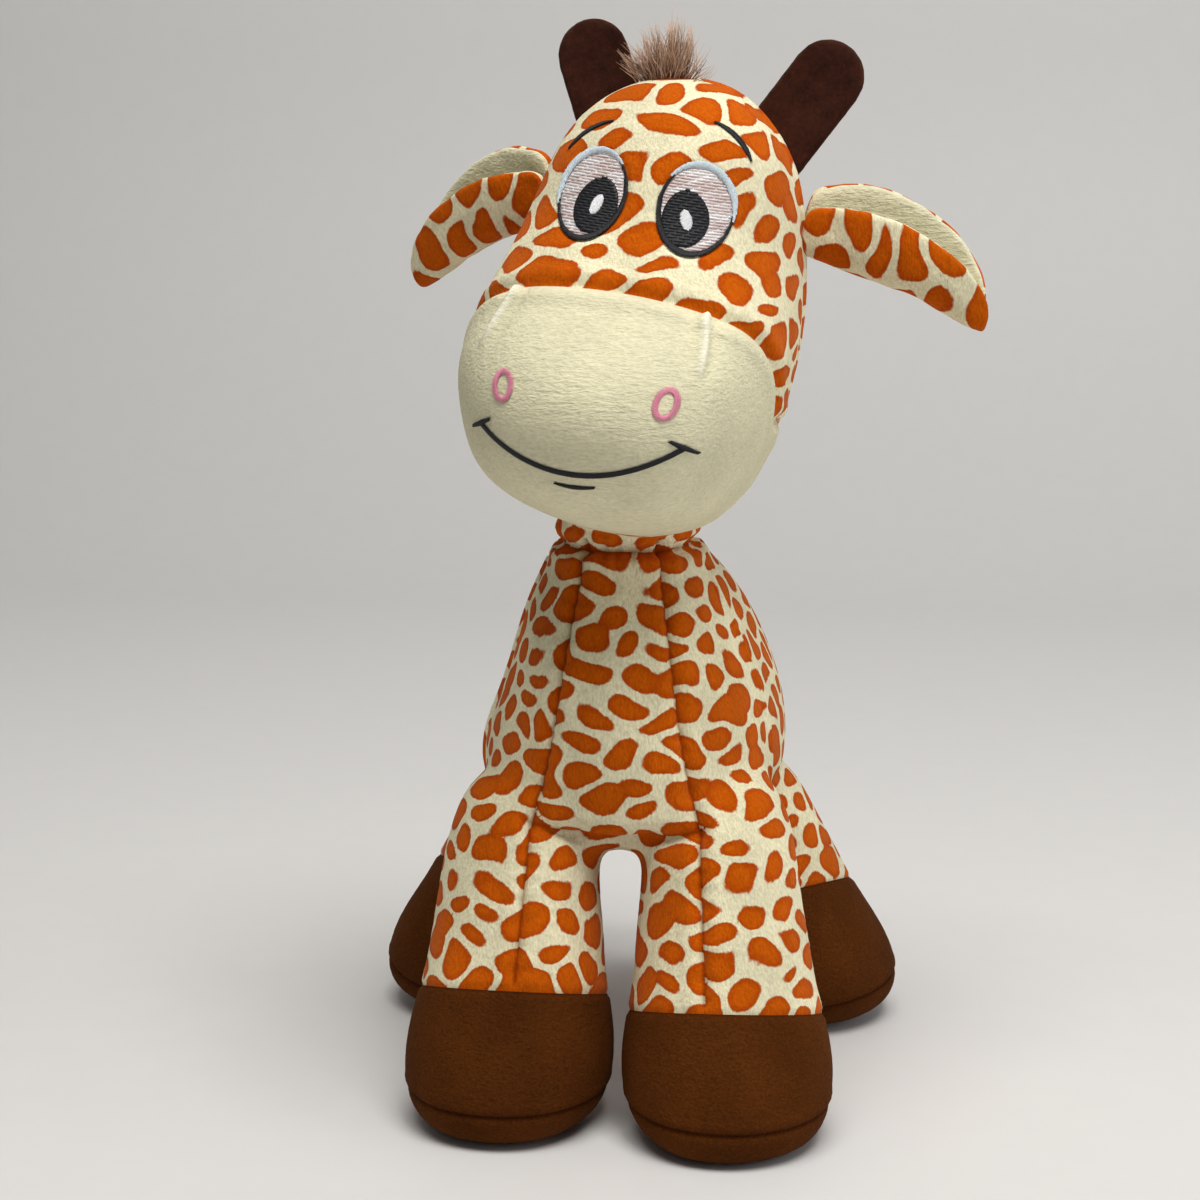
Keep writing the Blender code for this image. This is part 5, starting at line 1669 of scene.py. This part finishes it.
def build_tail():
    """Tail and tuft."""
    rings = []
    for place, width, thickness in TAIL_RING_SHARES:
        reach = thickness * TAIL_HALF_THICKNESS
        rings.append(egg_ring(-place * TAIL_LENGTH, reach, reach, 0.0, width * TAIL_HALF_WIDTH, 2.0, 8))
    matrix = tail_matrix()
    tail = rounded("tail_plush", *loft(rings), matrix, 4)
    tail.data.polygons.foreach_set("use_smooth", [True] * len(tail.data.polygons))
    add_patches(roughened(tail, 0.005, 0.0004, 13.0), 0.0110, 1.10, 0.0007, 400)
    dressed(tail, SPOTTED_PLUSH, ("tail",))
    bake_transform(tail)
    threads = Threads()
    dice = random.Random(9)
    for _ in range(230):
        angle = 2.0 * math.pi * dice.random()
        spread = math.sqrt(dice.random())
        begin = Vector((math.cos(angle) * spread * 0.0038, math.sin(angle) * spread * 0.0032, 0.0))
        tip_reach = 0.0045 * dice.random()
        reach = Vector((math.cos(angle) * tip_reach, math.sin(angle) * tip_reach, 0.0))
        belly = Vector((math.cos(angle) * spread * 0.0030, math.sin(angle) * spread * 0.0026, 0.0))
        start_z = -TAIL_TUFT_SHARE * TAIL_LENGTH
        end_z = -TAIL_LENGTH * (0.86 + 0.14 * dice.random())
        line, radii = [], []
        for step in range(STRAND_STEPS):
            share = step / (STRAND_STEPS - 1)
            height = Vector((0.0, 0.0, start_z + (end_z - start_z) * share))
            place = begin.lerp(reach, share) + belly * math.sin(math.pi * share) + height
            line.append(matrix @ place)
            radii.append(0.00019 * (1.0 - 0.75 * share ** 2.0))
        threads.tube(line, radii, STRAND_SIDES)
    tuft = threads.build("tail_tuft_strands", LONG_PILE, "long_pile")
    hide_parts("tail_tuft")
    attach(tuft, "tail")
    return tail, tuft


TAIL = build_tail()
print("tail", TAIL[0].name, "and", TAIL[1].name)

# %% [markdown]
# ## Embroidery, stitch by stitch
#
# The eyes, brows, nostrils and mouth are machine embroidery. Satin stitches lie side by side across
# an outline, and fill stitches lie in rows. Each stitch is modelled as a thread that dips into the cloth
# at both ends, laid on the skin by a ray from the front of the face.

# %% Stitch tools
THREAD_RADIUS = 0.00021
STITCH_LIFT = 0.00016


def thread_material(name, colour, roughness=0.38, second=None, shine=0.45, sheen=0.10):
    """Polyester embroidery thread, with a second colour banded into some of its rows as painted shade of the gaps
    between rows.
    """
    material, nodes, links = new_material(name)
    shader = nodes["Principled BSDF"]
    streak = stretched_noise(nodes, links, 2400.0, (1.0, 1.0, 1.0), 2.0)
    tone = ranged(nodes, links, streak, 0.3, 0.7, 0.82, 1.12)
    grey = nodes.new("ShaderNodeCombineColor")
    for socket in grey.inputs[:3]:
        links.new(tone, socket)
    # Painted shade: some rows are banded with the darker second colour, as seen in the gaps between rows.
    if second is not None:
        rows = stretched_noise(nodes, links, 900.0, (0.12, 0.12, 1.0), 2.0)
        colour = mixed(nodes, links, ranged(nodes, links, rows, 0.42, 0.58, 0.0, 1.0), colour, second)
    links.new(mixed(nodes, links, 1.0, colour, grey.outputs["Color"], "MULTIPLY"), shader.inputs["Base Color"])
    shader.inputs["Roughness"].default_value = roughness
    shader.inputs["Specular IOR Level"].default_value = shine
    shader.inputs["Sheen Weight"].default_value = sheen
    return material


WHITE_THREAD = thread_material("white_thread_stitches", (0.80, 0.80, 0.82))
# The eye white's second colour is a darker pink: partly the pink seen between the rows, partly painted shade of those
# gaps.
EYE_THREAD = thread_material("eye_white_stitches", (0.80, 0.76, 0.76), 0.42, (0.62, 0.50, 0.48))
BLACK_THREAD = thread_material("black_thread_stitches", (0.006, 0.006, 0.009), 0.5, None, 0.28, 0.0)
PINK_THREAD = thread_material("pink_thread_stitches", (0.76, 0.25, 0.38))
BLUE_THREAD = thread_material("pale_blue_thread_stitches", (0.62, 0.72, 0.78))
BROWN_THREAD = thread_material("brown_seam_thread", (0.33, 0.17, 0.09), 0.6)


def on_face(x, z, lift=0.0):
    """The skin point behind a place on the face, raised by a lift, and the normal there."""
    forward = HEAD_POSE.to_3x3() @ Vector((0.0, 1.0, 0.0))
    hit, normal, _, _ = skin_tree.ray_cast(head_point(x, -0.16, z), forward)
    if hit is None:
        return None, None
    return hit + normal * lift, normal


def lay_stitch(threads, start, end, layer, radius=THREAD_RADIUS, lift=STITCH_LIFT):
    """One stitch between two places on the face."""
    line, radii = [], []
    for share, height, width in ((0.0, -0.5, 0.55), (0.12, 0.6, 0.95), (0.5, 1.0, 1.0), (0.88, 0.6, 0.95), (1.0, -0.5, 0.55)):
        x = start[0] + (end[0] - start[0]) * share
        z = start[1] + (end[1] - start[1]) * share
        place, normal = on_face(x, z, layer + lift * height)
        if place is None:
            return
        line.append(place)
        radii.append(radius * width)
    if (line[-1] - line[0]).length > 1e-5:
        threads.tube(line, radii, 6, normal)


def satin_band(threads, middle_line, widths, layer, spacing, slant=0.0, radius=THREAD_RADIUS):
    """Satin stitches across a band that follows a line."""
    line = np.array(middle_line)
    steps = np.linalg.norm(np.diff(line, axis=0), axis=1)
    reach = np.concatenate([[0.0], np.cumsum(steps)])
    count = max(2, int(reach[-1] / spacing))
    for number in range(count):
        distance = reach[-1] * (number + 0.5) / count
        here = np.array([np.interp(distance, reach, line[:, axis]) for axis in (0, 1)])
        ahead = np.array([np.interp(min(distance + 0.0003, reach[-1]), reach, line[:, axis]) for axis in (0, 1)])
        behind = np.array([np.interp(max(distance - 0.0003, 0.0), reach, line[:, axis]) for axis in (0, 1)])
        run = (ahead - behind) / np.linalg.norm(ahead - behind)
        across = np.array([-run[1], run[0]])
        width = np.interp(distance / reach[-1], np.linspace(0.0, 1.0, len(widths)), widths) / 2.0
        lean = run * slant * width
        lay_stitch(threads, here - across * width - lean, here + across * width + lean, layer, radius)


def fill_rows(threads, inside, low, high, layer, row_gap, stitch_length, radius, jitter):
    """Rows of fill stitches wherever a shape holds."""
    row = 0
    z = low[1]
    while z < high[1]:
        x = low[0] + (row % 3) * stitch_length / 3.0 - stitch_length
        while x < high[0]:
            start, end = max(x, low[0]), min(x + stitch_length, high[0])
            samples = np.linspace(start, end, 9)
            held = [sample for sample in samples if inside(sample, z)]
            if len(held) > 1 and held[-1] - held[0] > 0.0006:
                lay_stitch(threads, (held[0], z), (held[-1], z + jitter), layer, radius)
            x += stitch_length
        z += row_gap
        row += 1


def ellipse_line(centre, half_width, half_height, lean, start=0.0, end=360.0, count=72, egg=0.0):
    """Points round an ellipse that leans, a little narrower at the top if egg is above zero."""
    line = []
    for step in range(count + 1):
        angle = math.radians(start + (end - start) * step / count)
        x = half_width * math.cos(angle) * (1.0 - egg * math.sin(angle))
        z = half_height * math.sin(angle)
        across = x * math.cos(lean) + z * math.sin(lean)
        up = -x * math.sin(lean) + z * math.cos(lean)
        line.append((centre[0] + across, centre[1] + up))
    return line


def in_ellipse(centre, half_width, half_height, lean, egg=0.0):
    """A test whether a place on the face lies in a leaning ellipse."""

    def inside(x, z):
        across, up = x - centre[0], z - centre[1]
        own_x = across * math.cos(lean) - up * math.sin(lean)
        own_z = across * math.sin(lean) + up * math.cos(lean)
        width = half_width * (1.0 - egg * own_z / half_height)
        return (own_x / width) ** 2.0 + (own_z / half_height) ** 2.0 < 1.0

    return inside


print("stitch radius", THREAD_RADIUS * 1000.0, "mm")

# %% [markdown]
# ### Eyes
#
# An eye is a white fill in level rows, a pupil that leans on the inner and lower part of the outline, a black
# satin outline round the lower half and a pale blue one round the upper outer half. The light in the pupil
# is a small slanted satin oval.

# %% Build the eyes
PUPIL_IN = 0.0021
PUPIL_DOWN = 0.0027
PUPIL_HALF_WIDTH = 0.0061
PUPIL_HALF_HEIGHT = 0.0075
ROW_GAP = 0.00078
FILL_LAYER = 0.00022
PUPIL_LAYER = 0.00056
OUTLINE_LAYER = 0.00066
LIGHT_LAYER = 0.00084

# Start and end of the pale blue arc in degrees round the outline, then the glint's offset and lean
EYE_ARCS = {1.0: (-22.0, 127.0), -1.0: (58.0, 209.0)}
EYE_GLINTS = {1.0: (0.0004, -0.0004, math.radians(-13.0)), -1.0: (0.0002, 0.0002, math.radians(30.0))}


def build_eye(label, side):
    """White, pupil, outline, rim and light of one eye."""
    centre = eye_place(side)
    lean = EYE_LEANS[side]
    white, black, rim, light = Threads(), Threads(), Threads(), Threads()
    shape = in_ellipse(centre, EYE_HALF_WIDTH * 0.97, EYE_HALF_HEIGHT * 0.97, lean)
    low = (centre[0] - EYE_HALF_WIDTH * 1.2, centre[1] - EYE_HALF_HEIGHT)
    high = (centre[0] + EYE_HALF_WIDTH * 1.2, centre[1] + EYE_HALF_HEIGHT)
    size = (EYE_HALF_WIDTH * 0.98, EYE_HALF_HEIGHT * 0.98, lean)
    white.pad(centre, *size, -0.0004, FILL_LAYER + 0.00006)
    fill_rows(white, shape, low, high, FILL_LAYER, ROW_GAP, 0.0042, 0.00038, 0.0001)
    pupil = (centre[0] - side * PUPIL_IN, centre[1] - PUPIL_DOWN)
    shape = in_ellipse(pupil, PUPIL_HALF_WIDTH, PUPIL_HALF_HEIGHT, lean, 0.06)
    low = (pupil[0] - PUPIL_HALF_WIDTH * 1.2, pupil[1] - PUPIL_HALF_HEIGHT)
    high = (pupil[0] + PUPIL_HALF_WIDTH * 1.2, pupil[1] + PUPIL_HALF_HEIGHT)
    black.pad(pupil, PUPIL_HALF_WIDTH * 0.99, PUPIL_HALF_HEIGHT * 0.99, lean, 0.0, PUPIL_LAYER + 0.00014, 0.06)
    fill_rows(black, shape, low, high, PUPIL_LAYER, ROW_GAP, 0.0034, 0.00038, 0.0001)
    arc_start, arc_end = EYE_ARCS[side]
    outline = ellipse_line(centre, EYE_HALF_WIDTH, EYE_HALF_HEIGHT, lean, arc_end - 6.0, arc_start + 366.0)
    satin_band(black, outline, (0.0008, 0.0015, 0.0017, 0.0017, 0.0015, 0.0008), OUTLINE_LAYER, 0.00034, 0.35)
    arc = ellipse_line(centre, EYE_HALF_WIDTH * 1.03, EYE_HALF_HEIGHT * 1.03, lean, arc_start, arc_end, 40)
    satin_band(rim, arc, (0.0008, 0.0018, 0.0020, 0.0018, 0.0009), OUTLINE_LAYER, 0.00034, 0.35)
    shift_x, shift_z, glint_lean = EYE_GLINTS[side]
    glint = (pupil[0] + shift_x, pupil[1] + shift_z)
    axis = np.array([math.sin(glint_lean), math.cos(glint_lean)])
    glint_line = [np.array(glint) + axis * reach for reach in (-0.0026, 0.0, 0.0026)]
    satin_band(light, glint_line, (0.0012, 0.0030, 0.0034, 0.0030, 0.0012), LIGHT_LAYER, 0.00036, 0.5)
    built = [
        (white.build(label + "_eye_white", EYE_THREAD, "white_thread"), (label + "_eye",)),
        (black.build(label + "_eye_black", BLACK_THREAD, "black_thread"), (label + "_pupil",)),
        (rim.build(label + "_eye_rim", BLUE_THREAD, "white_thread"), ()),
        (light.build(label + "_eye_light", WHITE_THREAD, "white_thread"), ()),
    ]
    for piece, nodes in built:
        if nodes:
            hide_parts(*nodes)
        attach(piece, "head")
    return [piece for piece, _ in built]


EYES = [build_eye("left", 1.0), build_eye("right", -1.0)]
print("eyes", [len(piece.data.polygons) for piece in EYES[0]], "faces a piece")

# %% [markdown]
# ### Brows, nostrils and mouth
#
# The brows are thin arcs, the nostrils are rings of pink satin and the mouth is one long stitched curve with
# a short bar at each end. A tiny second line marks the lower lip.

# %% Build the other stitches
BROW_X = 0.0202
BROW_HEIGHTS = {1.0: 0.1135, -1.0: 0.1100}
BROW_RADIUS = 0.018
BROW_SPAN = 48.0
BROW_LEAN = math.radians(38.0)
MUZZLE_MIDDLE_X = -0.0017
MUZZLE_ASKEW = math.radians(-3.1)
NOSTRIL_X = 0.0219
NOSTRIL_HEIGHT = 0.04445
MOUTH_HALF_WIDTH = 0.0278
MOUTH_HEIGHT = 0.0334
MOUTH_DROP = 0.0096
LIP_DROP = 0.0126
LINE_LAYER = 0.0003


def build_brow(label, side):
    """One thin arched line over an eye."""
    threads = Threads()
    centre = (EYE_MIDDLE_X + side * BROW_X, BROW_HEIGHTS[side])
    lean = side * BROW_LEAN
    line = []
    for step in range(25):
        angle = math.radians(BROW_SPAN) * (step / 24 - 0.5)
        x, z = BROW_RADIUS * math.sin(angle), BROW_RADIUS * (math.cos(angle) - 1.0)
        across = x * math.cos(lean) + z * math.sin(lean)
        line.append((centre[0] + across, centre[1] - x * math.sin(lean) + z * math.cos(lean)))
    satin_band(threads, line, (0.0004, 0.0010, 0.0011, 0.0010, 0.0004), LINE_LAYER, 0.00034, 0.9)
    piece = threads.build(label + "_brow_line", BLACK_THREAD, "black_thread")
    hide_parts(label + "_brow")
    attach(piece, "head")
    return piece


def askew(x, z):
    """A place on the muzzle, whose embroidery was sewn on a little askew."""
    rise = math.tan(MUZZLE_ASKEW)
    return MUZZLE_MIDDLE_X + x + (z - MOUTH_HEIGHT) * rise, z - x * rise


def build_nostril(label, side):
    """One ring of satin stitches."""
    threads = Threads()
    rise = math.tan(MUZZLE_ASKEW)
    centre = (MUZZLE_MIDDLE_X + side * NOSTRIL_X, NOSTRIL_HEIGHT - side * NOSTRIL_X * rise)
    ring = ellipse_line(centre, 0.0025, 0.0036, side * 0.1)
    satin_band(threads, ring, (0.0016, 0.0016), LINE_LAYER, 0.00042, 0.6, 0.00019)
    piece = threads.build(label + "_nostril_ring", PINK_THREAD, "pink_thread")
    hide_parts(label + "_nostril")
    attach(piece, "head")
    return piece


def sagging(half_width, height, drop, count=40):
    """A line that sags between its ends, askew like the rest of the muzzle's embroidery."""
    line = []
    for step in range(count + 1):
        across = 2.0 * step / count - 1.0
        line.append(askew(half_width * across, height - drop * (1.0 - across * across)))
    return line


def build_mouth():
    """Mouth line with its end bars, and the lower lip."""
    threads = Threads()
    smile = sagging(MOUTH_HALF_WIDTH, MOUTH_HEIGHT, MOUTH_DROP)
    satin_band(threads, smile, (0.0013, 0.0014, 0.0013), LINE_LAYER, 0.00036, 1.1)
    for side in (1.0, -1.0):
        x, z = side * MOUTH_HALF_WIDTH, MOUTH_HEIGHT
        bar = [askew(x - side * 0.0036, z + 0.0018), askew(x, z), askew(x + side * 0.0030, z - 0.0014)]
        satin_band(threads, bar, (0.0008, 0.0015, 0.0008), LINE_LAYER + 0.0001, 0.00034, 0.7)
    mouth = threads.build("mouth_line", BLACK_THREAD, "black_thread")
    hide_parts("mouth")
    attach(mouth, "head")
    threads = Threads()
    lip = sagging(0.0055, MOUTH_HEIGHT - LIP_DROP, 0.0006, 12)
    satin_band(threads, lip, (0.0005, 0.0011, 0.0005), LINE_LAYER, 0.00034, 1.1)
    lower = threads.build("lower_lip_line", BLACK_THREAD, "black_thread")
    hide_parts("lower_lip")
    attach(lower, "head")
    return mouth, lower


FACE = [build_brow(label, side) for label, side in (("left", 1.0), ("right", -1.0))]
FACE += [build_nostril(label, side) for label, side in (("left", 1.0), ("right", -1.0))]
FACE += build_mouth()
print("face lines", len(FACE))

# %% [markdown]
# ## The plain room
#
# A pale seamless floor and backdrop, and large soft lamps as in the photographed room: a key from high in
# front, one over the toy, a cool one from the right and a low even world. On a surface that faces up their sum
# is about one, so a colour renders about as it is written.

# %% Floor and lamps
FLOOR_SIZE = 3.0
BACKDROP_RADIUS = 0.35


def plain_material(name, colour, roughness):
    """A plain matt surface with the faintest unevenness."""
    material, nodes, links = new_material(name)
    shader = nodes["Principled BSDF"]
    uneven = stretched_noise(nodes, links, 60.0, (1.0, 1.0, 1.0), 4.0)
    tone = ranged(nodes, links, uneven, 0.3, 0.7, 0.985, 1.0)
    grey = nodes.new("ShaderNodeCombineColor")
    for socket in grey.inputs[:3]:
        links.new(tone, socket)
    links.new(mixed(nodes, links, 1.0, colour, grey.outputs["Color"], "MULTIPLY"), shader.inputs["Base Color"])
    shader.inputs["Roughness"].default_value = roughness
    return material


def build_room():
    """A floor that curves up into a backdrop."""
    profile = [(-FLOOR_SIZE / 2.0, 0.0)]
    wall = 0.75
    for step in range(25):
        angle = math.radians(90.0 * step / 24)
        profile.append((wall + BACKDROP_RADIUS * math.sin(angle), BACKDROP_RADIUS * (1.0 - math.cos(angle))))
    profile.append((wall + BACKDROP_RADIUS, FLOOR_SIZE))
    points, faces = [], []
    for along, up in profile:
        points.append((-FLOOR_SIZE, along, up - 0.0002))
        points.append((FLOOR_SIZE, along, up - 0.0002))
    for row in range(len(profile) - 1):
        faces.append((2 * row, 2 * row + 1, 2 * row + 3, 2 * row + 2))
    room = new_object("studio_floor", mesh_from("studio_floor", points, faces))
    room.data.polygons.foreach_set("use_smooth", [True] * len(room.data.polygons))
    room.data.materials.append(plain_material("studio_floor_paint", (0.72, 0.71, 0.70), 0.6))
    return room


def add_lamp(name, place, target, size, watts, colour):
    """A square soft lamp aimed at a point."""
    data = bpy.data.lights.new(name, "AREA")
    data.size = size
    data.energy = watts
    data.color = colour
    lamp = bpy.data.objects.new(name, data)
    bpy.context.scene.collection.objects.link(lamp)
    lamp.location = place
    lamp.rotation_euler = (Vector(target) - Vector(place)).to_track_quat("-Z", "Y").to_euler()
    return lamp


def build_light():
    """World and lamps. The world is dim as a light and pale where the camera or a gloss looks at it."""
    world = bpy.data.worlds.new("studio_world")
    bpy.context.scene.world = world
    world.use_nodes = True
    nodes, links = world.node_tree.nodes, world.node_tree.links
    lit = nodes["Background"]
    lit.inputs["Color"].default_value = (1.0, 0.99, 0.975, 1.0)
    lit.inputs["Strength"].default_value = 0.11
    seen = nodes.new("ShaderNodeBackground")
    seen.inputs["Color"].default_value = (0.66, 0.65, 0.64, 1.0)
    ray = nodes.new("ShaderNodeLightPath")
    looked_at = summed(nodes, links, ray.outputs["Is Camera Ray"], ray.outputs["Is Glossy Ray"])
    looked_at = summed(nodes, links, looked_at, ray.outputs["Is Transmission Ray"])
    either = nodes.new("ShaderNodeMixShader")
    links.new(looked_at, either.inputs["Fac"])
    links.new(lit.outputs["Background"], either.inputs[1])
    links.new(seen.outputs["Background"], either.inputs[2])
    links.new(either.outputs["Shader"], nodes["World Output"].inputs["Surface"])
    middle = (0.0, 0.0, 0.16)
    add_lamp("key_lamp", (0.36, -0.54, 1.45), middle, 0.6, 13.5, (1.0, 0.985, 0.95))
    add_lamp("front_lamp", (-0.18, -0.50, 1.54), middle, 0.6, 8.5, (1.0, 0.985, 0.95))
    add_lamp("side_lamp", (1.20, -0.30, 0.50), middle, 0.9, 3.8, (0.95, 0.975, 1.0))
    add_lamp("top_lamp", (0.1, 0.10, 1.5), middle, 0.9, 1.2, (1.0, 1.0, 1.0))


build_room()
build_light()
bpy.context.scene.view_settings.view_transform = "Standard"
print("room and lamps ready")
